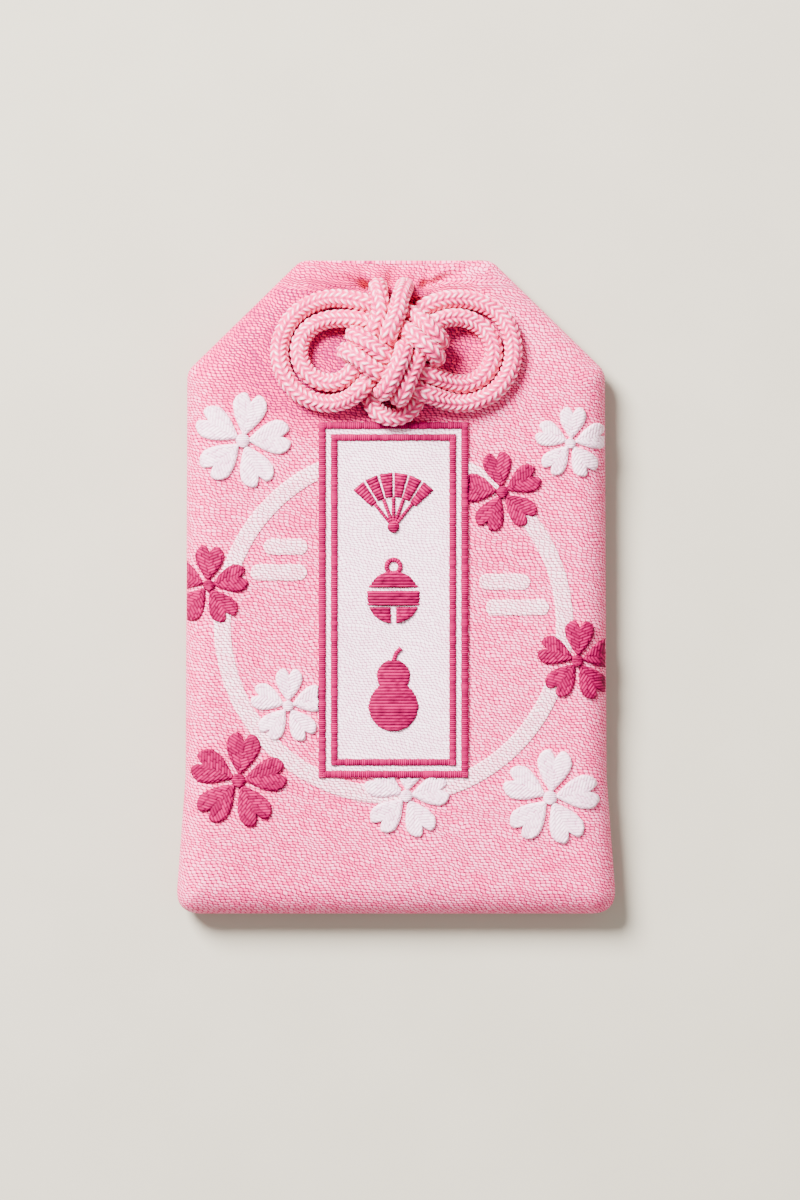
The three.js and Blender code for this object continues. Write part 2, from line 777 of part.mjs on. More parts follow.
function blossomOutline([x, y], radius, tilt, margin = 0) {
  const points = [];
  const halfPetal = Math.PI / petals;
  for (let petal = 0; petal < petals; petal += 1) {
    const axis = Math.PI / 2 - tilt * THREE.MathUtils.DEG2RAD - 2 * halfPetal * petal;
    const place = (angleShare, radiusShare) => {
      const angle = axis - angleShare * halfPetal;
      const reach = radius * radiusShare + margin;
      points.push(new THREE.Vector2(x + reach * Math.cos(angle), y + reach * Math.sin(angle)));
    };
    [...petalShares].slice(1).reverse().forEach(([turned, reached]) => place(-turned, reached));
    petalShares.forEach(([turned, reached]) => place(turned, reached));
    place(1, petalGapShare);
  }
  return points;
}

function blossom([x, y], radius, tilt) {
  const rim = blossomOutline([x, y], radius, tilt);
  const centre = new THREE.Vector2(x, y);
  const scaled = (share) => rim.map((point) => centre.clone().lerp(point, share));
  const button = rim.map((point) => centre.clone().add(point.clone().sub(centre).setLength(buttonRadius)));
  return loft([
    ...underShares.map((share) => drape(scaled(share), seatGap)),
    drape(rim, seatGap + stitchEdge),
    drape(scaled(crestShare), seatGap + stitchHeight),
    drape(button, seatGap + buttonHeight),
  ]);
}

// A stitched band along a line on the front: flat under, higher along its middle.
function stitchedBand(points, width) {
  const rings = points.map((point, i) => {
    const next = points[Math.min(i + 1, points.length - 1)];
    const along = next.clone().sub(points[Math.max(i - 1, 0)]).normalize();
    const across = new THREE.Vector2(-along.y, along.x).multiplyScalar(width / 2);
    const at = (share, lift) => drape([point.clone().addScaledVector(across, share)], lift)[0];
    const top = seatGap + stitchHeight;
    const edge = seatGap + stitchEdge;
    return [at(-1, seatGap), at(1, seatGap), at(1, edge), at(0, top), at(-1, edge)];
  });
  return loft(rings);
}

// A mist band has round ends and its crest is a shorter and narrower shape of the same kind.
const mistCrestShares = [0.9, 0.45];

function mistBand([x, y], length) {
  const half = length / 2;
  const radius = mistWidth / 2;
  const shape = new THREE.Shape();
  shape.absarc(x + half - radius, y, radius, -Math.PI / 2, Math.PI / 2);
  shape.absarc(x - half + radius, y, radius, Math.PI / 2, (3 * Math.PI) / 2);
  const rim = shape.getPoints(arcSteps / 4).slice(0, -1);
  const centre = new THREE.Vector2(x, y);
  const [along, across] = mistCrestShares;
  const inner = rim.map((point) => point.clone().sub(centre).multiply({ x: along, y: across }).add(centre));
  return loft([
    drape(rim, seatGap),
    drape(rim, seatGap + stitchEdge),
    drape(inner, seatGap + stitchHeight),
  ]);
}

// Blossoms: place from the ring's middle and radius, as shares of the ring's radius, and turn in degrees.
const blossomShares = [
  ["white_blossom_upper_left", -0.88, 1.075, 0.28, 12, white],
  ["white_blossom_upper_right", 1.035, 1.06, 0.21, 4, white],
  ["white_blossom_lower_left", -0.615, -0.475, 0.22, 2, white],
  ["white_blossom_foot", 0.075, -1, 0.25, 8, white],
  ["white_blossom_lower_right", 0.915, -1.01, 0.28, 7.5, white],
  ["magenta_blossom_left_edge", -1.08, 0.23, 0.23, 3.5, magenta],
  ["magenta_blossom_upper_right", 0.635, 0.775, 0.235, -10, magenta],
  ["magenta_blossom_right_edge", 1.075, -0.21, 0.235, 3, magenta],
  ["magenta_blossom_lower_left", -0.905, -0.91, 0.28, 8, magenta],
];
const fromRing = (x, y) => [ringX + x * ringRadius, ringY + y * ringRadius];
const blossoms = blossomShares.map(([name, x, y, radius, tilt, finish]) => {
  return { name, place: fromRing(x, y), radius: radius * ringRadius, tilt, finish };
});

// Mist bands: place and length, as shares of the ring's radius too.
const mistShares = [
  ["mist_band_left_upper", -0.63, 0.455, 0.26],
  ["mist_band_left_lower", -0.67, 0.305, 0.33],
  ["mist_band_right_upper", 0.65, 0.25, 0.3],
  ["mist_band_right_lower", 0.725, 0.1, 0.37],
];

function plaqueTool() {
  const side = 2 * cutClearance;
  const shape = rectangle(plaqueWidth + side, plaqueLength + side, plaqueCentre);
  return slab(shape, seamHeight, plateauHeight + cutOverrun);
}

function blossomTool({ place, radius, tilt }) {
  const shape = new THREE.Shape(blossomOutline(place, radius, tilt, cutClearance));
  return slab(shape, seamHeight, plateauHeight + cutOverrun);
}

// The ring shows between the blossoms and the plaque, as separate arcs in order round it. Slips of it that
// would fill the notch between two petals are left out.
const ringStartShare = 0.25;

function ringArcs() {
  const stations = 4 * arcSteps;
  const points = Array.from({ length: stations + 1 }, (_, i) => {
    const angle = Math.PI / 2 + (2 * Math.PI * (i + ringStartShare)) / (stations + 1);
    return new THREE.Vector2(ringX, ringY).add(
      new THREE.Vector2(ringRadius * Math.cos(angle), ringRadius * Math.sin(angle)),
    );
  });
  const tools = [plaqueTool(), ...blossoms.map(blossomTool)];
  const pieces = toSolid(cut(stitchedBand(points, ringWidth), tools)).decompose();
  const sliver = ringWidth * stitchHeight ** 2;
  const placed = pieces.filter((piece) => piece.volume() > sliver).map((piece) => {
    const { min, max } = piece.boundingBox();
    const angle = Math.atan2((min[1] + max[1]) / 2 - ringY, (min[0] + max[0]) / 2 - ringX);
    return { piece, turn: (angle + (3 * Math.PI) / 2) % (2 * Math.PI) };
  });
  return placed.sort((a, b) => a.turn - b.turn).map(({ piece }) => toGeometry(piece));
}

function border(width, length, line) {
  const shape = rectangle(width, length, plaqueCentre);
  shape.holes.push(rectangle(width - 2 * line, length - 2 * line, plaqueCentre));
  return slab(shape, plateauHeight + groundThickness, borderHeight);
}

// The folding fan on the plaque: a leaf, its sticks and the rivet they share.
function fanMotif() {
  const [from, to] = fanAngles;
  const leaf = new THREE.Shape();
  leaf.absarc(0, 0, fanLeafRadius, from, to);
  leaf.absarc(0, 0, fanStickRadius, to, from, true);
  const rivet = new THREE.Shape().absarc(0, 0, fanRivetRadius, 0, 2 * Math.PI);
  const pieces = [slab(leaf, 0, motifHeight), slab(rivet, 0, motifHeight)];
  for (let i = 0; i < fanSticks; i += 1) {
    const turn = from + ((to - from) * (i + 0.5)) / fanSticks;
    const length = fanStickRadius + fanStickWidth;
    const stick = rectangle(length, fanStickWidth, [length / 2, 0]);
    pieces.push(slab(stick, 0, motifHeight).rotateZ(turn));
  }
  return join(pieces).translate(0, -fanLeafRadius / 2, 0);
}

// The round bell: a ball with its mouth slit and band, and a ring to hang it by.
function bellMotif() {
  const ball = new THREE.Shape().absarc(0, 0, bellRadius, 0, 2 * Math.PI);
  ball.holes.push(rectangle(bellSlitWidth, bellSlitLength, [0, -bellRadius / 2 - bellBandGap]));
  ball.holes.push(rectangle(bellRadius, bellBandGap, [0, bellEyeHeight + bellBandGap]));
  const hangerY = bellRadius + hangerHole;
  const hanger = new THREE.Shape().absarc(0, hangerY, hangerRadius, 0, 2 * Math.PI);
  hanger.holes.push(new THREE.Path().absarc(0, hangerY, hangerHole, 0, 2 * Math.PI));
  return join([slab(ball, 0, motifHeight), slab(hanger, 0, motifHeight)]);
}

// The gourd: two bulbs that meet in a waist, and a short bent stalk.
function gourdMotif() {
  const disc = (radius, y) => new THREE.Shape().absarc(0, y, radius, 0, 2 * Math.PI);
  const bulb = (radius, y) => slab(disc(radius, y), 0, motifHeight);
  const waist = slab(rectangle(gourdWaistWidth, gourdSpacing), 0, motifHeight);
  const stalk = slab(rectangle(gourdStalkWidth, gourdStalkLength, [0, gourdStalkLength / 2]), 0, motifHeight);
  stalk.rotateZ(gourdStalkTurn).translate(0, gourdSpacing / 2 + gourdHeadRadius - gourdStalkWidth, 0);
  const half = gourdSpacing / 2;
  return join([bulb(gourdFootRadius, -half), bulb(gourdHeadRadius, half), waist, stalk]);
}

add("back_panel", backPanel(), pink);
add("front_panel", frontPanel(), pink);
add("front_lining", frontLining(), liningPink);
add("back_lining", backLining(), liningPink);
add("stiffener_card", stiffenerCard(), paper);
add("wadding_pad", waddingPad(), wool);
talismanPackage();
add("left_corner_fold", cornerFold(-1), pink);
add("right_corner_fold", cornerFold(1), pink);
add("seam_thread", seamThread(), pink);
add("cord_span", cordSpan(), palePink);
add("knot_cord", knotCord(), palePink);

const ground = rectangle(plaqueWidth, plaqueLength, plaqueCentre);
add("plaque_ground", slab(ground, plateauHeight, groundThickness), white);
add("plaque_outer_border", border(plaqueWidth, plaqueLength, outerBorder), magenta);
const innerStep = 2 * (outerBorder + borderGap);
add("plaque_inner_border", border(plaqueWidth - innerStep, plaqueLength - innerStep, innerBorder), magenta);
const motifs = [
  ["plaque_fan", fanMotif()],
  ["plaque_bell", bellMotif()],
  ["plaque_gourd", gourdMotif()],
];
motifs.forEach(([name, geometry], i) => {
  const y = plaqueY + motifShares[i] * plaqueLength;
  add(name, geometry, magenta).position.set(plaqueX, y, plateauHeight + groundThickness);
});

blossoms.forEach(({ name, place, radius, tilt, finish }) => {
  add(name, cut(blossom(place, radius, tilt), [plaqueTool()]), finish);
});
mistShares.forEach(([name, x, y, length]) => {
  add(name, mistBand(fromRing(x, y), length * ringRadius), white);
});
ringArcs().forEach((geometry, i) => add(`ring_arc_${i + 1}`, geometry, white));

export default root;
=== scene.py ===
"""A small brocade charm pouch with a stitched front and a knotted cord, lying on its back.

Everything is in metres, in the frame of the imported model: X to the right, Y towards the mouth and the
knot, Z out of the stitched front.
"""

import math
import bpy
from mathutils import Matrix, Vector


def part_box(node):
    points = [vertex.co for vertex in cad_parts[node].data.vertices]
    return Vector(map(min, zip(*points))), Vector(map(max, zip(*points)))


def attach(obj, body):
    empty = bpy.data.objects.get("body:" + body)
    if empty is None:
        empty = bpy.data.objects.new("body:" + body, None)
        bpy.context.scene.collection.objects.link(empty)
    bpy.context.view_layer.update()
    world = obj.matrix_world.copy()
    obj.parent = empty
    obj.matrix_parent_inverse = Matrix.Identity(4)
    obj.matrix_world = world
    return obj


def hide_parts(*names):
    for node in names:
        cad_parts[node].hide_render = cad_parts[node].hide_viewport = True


bl_info = {
    "name": "Brocade charm pouch",
    "version": (1, 0, 0),
    "blender": (4, 5, 0),
    "location": "3D View > Sidebar > Charm",
    "description": "Dresses a charm pouch with brocade, satin stitching and a braided knot",
    "category": "Add Mesh",
}

import bpy
import numpy as np
from mathutils import Vector

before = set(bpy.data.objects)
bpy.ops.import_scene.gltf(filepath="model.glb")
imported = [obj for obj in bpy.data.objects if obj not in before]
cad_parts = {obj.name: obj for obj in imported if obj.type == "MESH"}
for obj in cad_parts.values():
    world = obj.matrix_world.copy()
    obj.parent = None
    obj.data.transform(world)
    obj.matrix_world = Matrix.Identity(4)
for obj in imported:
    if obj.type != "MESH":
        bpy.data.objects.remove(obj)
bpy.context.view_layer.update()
MM = 0.001

# Outline of the pouch, from the foot up: place and corner radius, as the panels have them.
TOP_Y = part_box("back_panel")[1][1]
FOOT_HALF_WIDTH = 0.0257
SIDE_HALF_WIDTH = 0.0245
SHOULDER_HALF_WIDTH = 0.0243
MOUTH_HALF_WIDTH = 0.0111
FLARE_HEIGHT = 0.016
SHOULDER_DROP = 0.0129
FOOT_CORNER = 0.0028
SOFT_CORNER = 0.0022
FLARE_CORNER = 0.009
RIGHT_CORNERS = [
    (FOOT_HALF_WIDTH, -TOP_Y, FOOT_CORNER),
    (SIDE_HALF_WIDTH, FLARE_HEIGHT - TOP_Y, FLARE_CORNER),
    (SHOULDER_HALF_WIDTH, TOP_Y - SHOULDER_DROP, SOFT_CORNER),
    (MOUTH_HALF_WIDTH, TOP_Y, SOFT_CORNER),
]

# Section of the pouch.
CLOTH = 0.00045
SEAM_HEIGHT = 0.0028
FRONT_RISE = 0.0032
CROWN_RISE = 0.0006
CROWN_INSET = 0.012
EDGE_ROUND = 0.0033
BACK_EDGE_ROUND = 0.0026
TAPER_DROP = 0.017
TAPER_END_DROP = 0.001
TAPER_SHARE = 0.44
LIP_OPEN_SHARE = 0.36
LIP_DIP = 0.0006
LIP_REACH = 0.005
LIP_SAG_SHARE = 0.85
RECESS_RISE = 0.0023
RECESS_HALF_WIDTH = 0.011
RECESS_DROP = 0.0095
RECESS_END_DROP = 0.005
PANEL_COLUMNS = 170
PANEL_ROWS = 240
CORNER_STEPS = 8

# How far the padded seam stands out past the cut edge, as a share, and how far in that begins.
SWELL = 0.008
SWELL_REACH = 0.006

# Cord, holes and knot.
SPACING = 0.0022
HOLE_Y = TOP_Y - 0.0029
HOLE_XS = (-0.0021, 0.001)
LEG_LIFT = 0.001275
SPAN_HEIGHT = 0.00115
SPAN_BEND = 0.0009
KNOT_X = 0.0002
KNOT_Y = TOP_Y - 0.010
REST_LIFT = 0.00115
UNDER = 0.0012
MIDDLE = 0.0031
OVER = 0.005

# Turn of the crown's own frame, how far it is drawn in from its loose size, and how far down it then lies.
KNOT_TILT = math.radians(-33)
CROWN_DRAW = 0.87
CROWN_DROP = 0.0003

# Embroidery.
RING_CENTRE = (-0.0003, -0.0044)
RING_RADIUS = 0.020
RING_WIDTH = 0.002
MIST_WIDTH = 0.0019
MIST_STEPS = 60
PLAQUE_CENTRE = (-0.0003, -0.0015)
PLAQUE_WIDTH = 0.0175
PLAQUE_LENGTH = 0.0416
PLAQUE_RISE = 0.0002
PLAQUE_GAP = 0.0001
PLAQUE_ROWS = 90
PLAQUE_SIDES = 40
OUTER_BORDER = 0.00085
BORDER_GAP = 0.00058
INNER_BORDER = 0.0008
BORDER_SEEDS = (10, 20)
FRAME_LIFTS = (0.00016, PLAQUE_RISE)
LOW_RISE_SHARE = 0.8
FRAME_THREAD_SHARE = 0.66
CORNER_LAP = 0.45
MOTIF_SHARES = (0.281, 0.007, -0.257)
PETALS = 5
EDGE_HOLD = 0.0001
WOVEN_SIDES = 12
WOVEN_ROUND = 0.0003
WOVEN_RISE = 0.00016
RING_TUCK = 0.0012
RING_STEP = 0.0003

# How far below the cloth the foot of each stitched or woven pad lies.
SINK = 0.00004

# Folds that the two holes gather in the front: start, end, half width and height of each.
GATHERS = (
    ((-0.0033, 0.0352), (-0.0080, 0.0367), 0.00055, -0.00060),
    ((-0.0033, 0.0352), (-0.0092, 0.0341), 0.00060, -0.00051),
    ((-0.0033, 0.0352), (-0.0043, 0.0377), 0.00050, -0.00060),
    ((-0.0005, 0.0354), (-0.0007, 0.0379), 0.00045, -0.00068),
    ((0.0032, 0.0353), (0.0040, 0.0377), 0.00050, -0.00060),
    ((0.0032, 0.0353), (0.0078, 0.0369), 0.00055, -0.00060),
    ((0.0032, 0.0353), (0.0094, 0.0342), 0.00060, -0.00051),
    ((0.0032, 0.0350), (0.0074, 0.0322), 0.00070, -0.00042),
    ((-0.0033, 0.0350), (-0.0074, 0.0318), 0.00070, -0.00039),
    ((-0.0030, 0.0361), (-0.0062, 0.0375), 0.00060, 0.00042),
    ((0.0012, 0.0362), (0.0017, 0.0378), 0.00080, 0.00051),
    ((-0.0020, 0.0362), (-0.0023, 0.0378), 0.00070, 0.00042),
    ((0.0034, 0.0362), (0.0062, 0.0375), 0.00060, 0.00042),
)
GATHER_FADE = 0.75

# Middle and reach, in millimetres, and strength of the painted shade round the knot.
KNOT_SHADE_CENTRE = (KNOT_X / MM - 5.0, KNOT_Y / MM)
KNOT_SHADE_REACH = (22.0, 13.0)
KNOT_SHADE_SHARE = 0.66

# Place, half size and height of the puff of cloth, and the reach and depth of the dimple at each hole.
PUFF = ((0.0021, 0.0346), (0.0019, 0.0011), 0.0012)
HOLE_DIMPLE = (0.0013, 0.0007)

# Share, waves across and along, and turn of each slow wave.
WAVES = ((0.9, 310, 170, 0.4), (0.7, -220, 390, 1.9), (0.5, 520, -260, 4.1), (0.4, 140, 640, 2.7))
WAVE_HEIGHT = 0.00005


def crown(*places):
    """Places in the crown of the knot, which lies in its own slanted frame, with their heights."""
    cos, sin = math.cos(KNOT_TILT) * CROWN_DRAW, math.sin(KNOT_TILT) * CROWN_DRAW
    middle_y = KNOT_Y - CROWN_DROP
    return [(KNOT_X + x * cos - y * sin, middle_y + x * sin + y * cos, lift) for x, y, lift in places]


def around(*places):
    """Places in the ears, the foot loop and the legs, from the knot's middle, with their heights."""
    return [(KNOT_X + x, KNOT_Y + y, lift) for x, y, lift in places]


# The cord's route, with each place's height above the cloth: out of one hole, to and fro through the
# crown, round two ears on each side and one small loop at the foot, and into the other hole.
ROUTE = (
    (HOLE_XS[0], HOLE_Y, LEG_LIFT),
    *around((-0.00235, 0.0069, 0.0024), (-0.00255, 0.006, 0.004)),
    *crown(
        (-0.00375, 0.0031, OVER), (-0.0035, 0.0012, OVER), (-0.003, -0.0004, 0.004),
        (-0.0026, -0.0016, MIDDLE), (-0.0027, -0.0033, MIDDLE),
    ),
    *around(
        (-0.0058, -0.0038, 0.0023), (-0.0079, -0.0044, 0.0015), (-0.0106, -0.0033, REST_LIFT),
        (-0.0118, -0.0005, REST_LIFT), (-0.0106, 0.0023, REST_LIFT), (-0.0079, 0.0034, 0.0015),
        (-0.0054, 0.0032, 0.0023),
    ),
    *crown(
        (-0.0036, 0.0013, MIDDLE), (-0.0017, 0.0012, MIDDLE), (-0.0006, 0.0012, 0.0042),
        (0.0006, 0.0012, OVER), (0.0022, 0.0011, OVER), (0.0036, 0.001, 0.0044),
        (0.0039, 0.0009, MIDDLE), (0.0037, 0.0006, 0.0017), (0.0036, -0.0006, UNDER),
        (0.0044, -0.0018, UNDER),
    ),
    *around(
        (0.0027, -0.0051, UNDER), (0.0019, -0.0072, UNDER), (0.0006, -0.0083, UNDER),
        (-0.0007, -0.0085, UNDER), (-0.0021, -0.0082, UNDER), (-0.0032, -0.0069, UNDER),
        (-0.0034, -0.0052, UNDER),
    ),
    *crown(
        (-0.0014, -0.0051, UNDER), (-0.0028, -0.0045, UNDER), (-0.004, -0.0036, 0.0018),
        (-0.0045, -0.0032, MIDDLE), (-0.0041, -0.003, 0.0045), (-0.0026, -0.0029, OVER),
        (-0.0008, -0.0029, OVER), (0.0002, -0.0028, 0.004), (0.0012, -0.0027, MIDDLE),
        (0.0028, -0.0027, MIDDLE),
    ),
    *around(
        (0.0034, -0.0051, 0.0028), (0.0052, -0.0063, 0.0019), (0.0077, -0.0067, REST_LIFT),
        (0.0113, -0.0054, REST_LIFT), (0.0136, -0.0014, REST_LIFT), (0.0124, 0.0036, REST_LIFT),
        (0.0087, 0.0056, REST_LIFT), (0.0054, 0.0056, 0.0019),
    ),
    *crown(
        (-0.0009, 0.0054, 0.0029), (-0.0001, 0.0033, MIDDLE), (0, 0.0014, MIDDLE), (0.0003, 0, 0.004),
        (0.00045, -0.001, OVER), (0.0005, -0.0026, OVER), (0.0006, -0.0037, 0.0044),
        (0.0005, -0.0041, MIDDLE), (0.0002, -0.0037, 0.0017), (-0.0005, -0.0026, UNDER),
        (-0.0015, -0.0014, UNDER), (-0.0033, -0.001, 0.0013), (-0.0043, -0.001, 0.002),
        (-0.0045, -0.001, MIDDLE), (-0.0041, -0.001, 0.0045), (-0.0026, -0.001, OVER),
        (-0.0009, -0.0009, OVER), (0.0002, -0.0008, 0.0034), (0.0012, -0.0007, MIDDLE),
        (0.0028, -0.0006, MIDDLE),
    ),
    *around(
        (0.0042, -0.003, 0.0028), (0.0056, -0.004, 0.0019), (0.0077, -0.0046, REST_LIFT),
        (0.0102, -0.0035, REST_LIFT), (0.0115, -0.0005, REST_LIFT), (0.0102, 0.0023, REST_LIFT),
        (0.0078, 0.0035, 0.0015), (0.0056, 0.0036, 0.0023),
    ),
    *crown(
        (0.0016, 0.0033, MIDDLE), (0.002, 0.0013, MIDDLE), (0.0023, -0.0002, 0.004),
        (0.0025, -0.0012, OVER), (0.0027, -0.0026, OVER), (0.0029, -0.0036, 0.0044),
        (0.0028, -0.0041, MIDDLE), (0.0025, -0.0037, 0.0017), (0.0019, -0.0026, UNDER),
        (0.0012, -0.0006, UNDER), (0.0012, 0.0014, UNDER), (0.0022, 0.0028, UNDER),
        (0.0035, 0.0031, 0.0018), (0.0039, 0.0031, MIDDLE), (0.0035, 0.0031, 0.0045),
        (0.002, 0.0031, OVER), (0.0005, 0.0031, OVER), (-0.0007, 0.0031, 0.004),
        (-0.0019, 0.0031, MIDDLE), (-0.0038, 0.0033, MIDDLE),
    ),
    *around(
        (-0.006, 0.0057, 0.0023), (-0.0088, 0.0057, REST_LIFT), (-0.0126, 0.0034, REST_LIFT),
        (-0.014, -0.001, REST_LIFT), (-0.0121, -0.0051, REST_LIFT), (-0.0084, -0.0068, REST_LIFT),
        (-0.0054, -0.0061, 0.0019), (-0.0035, -0.0046, 0.0028),
    ),
    *crown(
        (-0.0007, -0.0032, MIDDLE), (-0.0007, -0.0014, MIDDLE), (-0.0012, -0.0002, 0.004),
        (-0.0014, 0.0012, OVER), (-0.0017, 0.0031, OVER),
    ),
    *around((0.0005, 0.0059, 0.0042), (0.00075, 0.0068, 0.0025)),
    (HOLE_XS[1], HOLE_Y, LEG_LIFT),
)


def smooth(value):
    """0 up to 0 and 1 from 1 on, smoothly between."""
    share = np.clip(value, 0, 1)
    return share * share * (3 - 2 * share)


def quarter_round(share):
    """The height of a quarter circle at a share of its width."""
    return np.sqrt(1 - (1 - np.clip(share, 0, 1)) ** 2)


def graded(count):
    """Shares from -1 to 1 that lie closer together towards both ends."""
    return np.sin(np.linspace(-math.pi / 2, math.pi / 2, count + 1))


def outline_points():
    """The outline of the pouch with its corners rounded, anticlockwise from the right foot corner."""
    corners = RIGHT_CORNERS + [(-x, y, radius) for x, y, radius in reversed(RIGHT_CORNERS)]
    points = []
    for i, (x, y, radius) in enumerate(corners):
        corner = Vector((x, y))
        to_before = Vector(corners[i - 1][:2]) - corner
        to_after = Vector(corners[(i + 1) % len(corners)][:2]) - corner
        half_turn = (math.pi - to_before.angle(to_after)) / 2
        room = min(to_before.length, to_after.length) / 3
        tangent = min(radius * math.tan(half_turn), room)
        start = corner + to_before.normalized() * tangent
        end = corner + to_after.normalized() * tangent
        for t in np.linspace(0, 1, CORNER_STEPS + 1):
            points.append(start * (1 - t) ** 2 + corner * 2 * t * (1 - t) + end * t * t)
    return np.array(points)


OUTLINE = outline_points()
RIGHT_SIDE = OUTLINE[: len(OUTLINE) // 2]


def half_width(y):
    """How far the outline reaches to the side at each height."""
    return np.interp(y, RIGHT_SIDE[:, 1], RIGHT_SIDE[:, 0])


def from_line(place, start, end):
    """How far each place is from a line, and how far along the line that is."""
    side = np.subtract(end, start)
    along = np.clip((place - start) @ side / (side @ side), 0, 1)
    return np.linalg.norm(place - start - along[..., None] * side, axis=-1), along


def inset_at(x, y):
    """How far each place is from the outline."""
    place = np.stack([x, y], axis=-1)
    nearest = np.full(x.shape, np.inf)
    for start, end in zip(OUTLINE, np.roll(OUTLINE, -1, axis=0)):
        nearest = np.minimum(nearest, from_line(place, start, end)[0])
    return nearest


def front_height(x, y):
    """The padded front: round at the edge, crowned in the middle, flatter and a little open at the top."""
    inset = inset_at(x, y)
    mouth = smooth(2 - 2 * np.abs(x) / MOUTH_HALF_WIDTH) * smooth((y - TOP_Y + RECESS_DROP) / RECESS_DROP)
    opened = 1 - (1 - np.clip(inset / EDGE_ROUND, 0, 1)) * (1 - LIP_OPEN_SHARE * mouth)
    crowned = CROWN_RISE * (1 - (1 - np.clip(inset / CROWN_INSET, 0, 1)) ** 2)
    taper = TAPER_SHARE * smooth((y - TOP_Y + TAPER_DROP) / (TAPER_DROP - TAPER_END_DROP))
    return SEAM_HEIGHT + (FRONT_RISE * quarter_round(opened) + crowned) * (1 - taper)


def back_height(x, y):
    """The flat back, with its rounded edge and the recess that the cord's span lies in."""
    bend = quarter_round(inset_at(x, y) / BACK_EDGE_ROUND)
    across = smooth(2 - 2 * np.abs(x) / RECESS_HALF_WIDTH)
    recess = RECESS_RISE * across * smooth((y - TOP_Y + RECESS_DROP) / (RECESS_DROP - RECESS_END_DROP))
    return SEAM_HEIGHT - (SEAM_HEIGHT - recess) * bend


def unevenness(x, y):
    """The slow waves that hand-sewn cloth keeps, flat at the seam."""
    waves = sum(share * np.sin(across * x + along * y + turn) for share, across, along, turn in WAVES)
    return WAVE_HEIGHT * waves * smooth(inset_at(x, y) / EDGE_ROUND)


def gathers(x, y):
    """Folds, a puff of cloth beside the right leg and a dimple at each hole."""
    place = np.stack([x, y], axis=-1)
    height = np.zeros(x.shape)
    for start, end, width, rise in GATHERS:
        away, along = from_line(place, start, end)
        height += rise * np.exp(-((away / width) ** 2)) * (1 - GATHER_FADE * along ** 2)
    (puff_x, puff_y), (puff_width, puff_length), puff_rise = PUFF
    height += puff_rise * np.exp(-(((x - puff_x) / puff_width) ** 4) - ((y - puff_y) / puff_length) ** 4)
    reach, depth = HOLE_DIMPLE
    for hole_x in HOLE_XS:
        height -= depth * np.exp(-(((x - hole_x) ** 2 + (y - HOLE_Y) ** 2) / reach ** 2))
    return height * smooth(inset_at(x, y) / MM)


def swollen(x, y):
    """How many times further out each place lies once the seam is padded."""
    return 1 + SWELL * (1 - smooth(inset_at(x, y) / SWELL_REACH))


def cloth_height(x, y):
    """The front as it is seen, with its waves and folds."""
    return front_height(x, y) + unevenness(x, y) + gathers(x, y)


class Form:
    """A mesh in the making: rings or grids of points with values that a material reads."""

    def __init__(self):
        self.points = []
        self.faces = []
        # hollow is how far down between threads a place lies, which the satin paints as shade; shade is
        # each thread's own tone, at random.
        self.values = {"hollow": [], "shade": []}
        self.uvs = []

    def add(self, points, hollow=0.0, shade=0.5, uv=None):
        """Adds a block of points of any shape and returns their numbers in that shape."""
        shape = points.shape[:-1]
        first = len(self.points)
        self.points.extend(points.reshape(-1, 3).tolist())
        self.values["hollow"].extend(np.broadcast_to(hollow, shape).ravel().tolist())
        self.values["shade"].extend(np.broadcast_to(shade, shape).ravel().tolist())
        flat = points[..., :2] / MM if uv is None else uv
        self.uvs.extend(flat.reshape(-1, 2).tolist())
        return np.arange(first, len(self.points)).reshape(shape)

    def quads(self, rows, flip=False):
        """Faces between neighbours of a grid of point numbers."""
        a, b, c, d = rows[:-1, :-1], rows[:-1, 1:], rows[1:, 1:], rows[1:, :-1]
        order = (a, d, c, b) if flip else (a, b, c, d)
        self.faces.extend(np.stack(order, axis=-1).reshape(-1, 4).tolist())

    def tube(self, rings, closed=False):
        """Faces round rings of point numbers, with a face at each open end."""
        wrapped = np.concatenate([rings, rings[:, :1]], axis=1)
        if closed:
            wrapped = np.concatenate([wrapped, wrapped[:1]])
        self.quads(wrapped)
        if not closed:
            self.faces.append(rings[0].tolist())
            self.faces.append(rings[-1][::-1].tolist())

    def slab(self, top, bottom):
        """Faces of a closed pad from the numbers of its upper and lower grid."""
        self.quads(top)
        self.quads(bottom, flip=True)
        for upper, lower in ((top[0], bottom[0]), (top[-1][::-1], bottom[-1][::-1])):
            self.quads(np.stack([upper, lower]), flip=True)
        for upper, lower in ((top[:, 0][::-1], bottom[:, 0][::-1]), (top[:, -1], bottom[:, -1])):
            self.quads(np.stack([upper, lower]), flip=True)

    def pad(self, x, y, base, top, hollow=0.0, shade=0.5):
        """A closed pad from just below the cloth to its own height."""
        upper = self.add(np.stack([x, y, top], axis=-1), hollow, shade)
        lower = self.add(np.stack([x, y, base - SINK], axis=-1), hollow, shade)
        self.slab(upper, lower)

    def finish(self, name, material):
        """Makes the piece with its values, cloth map and material, and its faces turned out."""
        mesh = bpy.data.meshes.new(name)
        mesh.from_pydata(self.points, [], self.faces)
        for label, values in self.values.items():
            mesh.attributes.new(label, "FLOAT", "POINT").data.foreach_set("value", values)
        corners = np.empty(len(mesh.loops), dtype=np.int32)
        mesh.loops.foreach_get("vertex_index", corners)
        layer = mesh.uv_layers.new(name="cloth")
        layer.data.foreach_set("uv", np.array(self.uvs)[corners].ravel())
        mesh.materials.append(material)
        piece = bpy.data.objects.new(name, mesh)
        bpy.context.collection.objects.link(piece)
        edit(piece, bpy.ops.mesh.normals_make_consistent, inside=False)
        bpy.ops.object.shade_smooth()
        return piece


def select(piece):
    """Makes a piece the active one and the only one that is selected."""
    bpy.ops.object.select_all(action="DESELECT")
    piece.select_set(True)
    bpy.context.view_layer.objects.active = piece


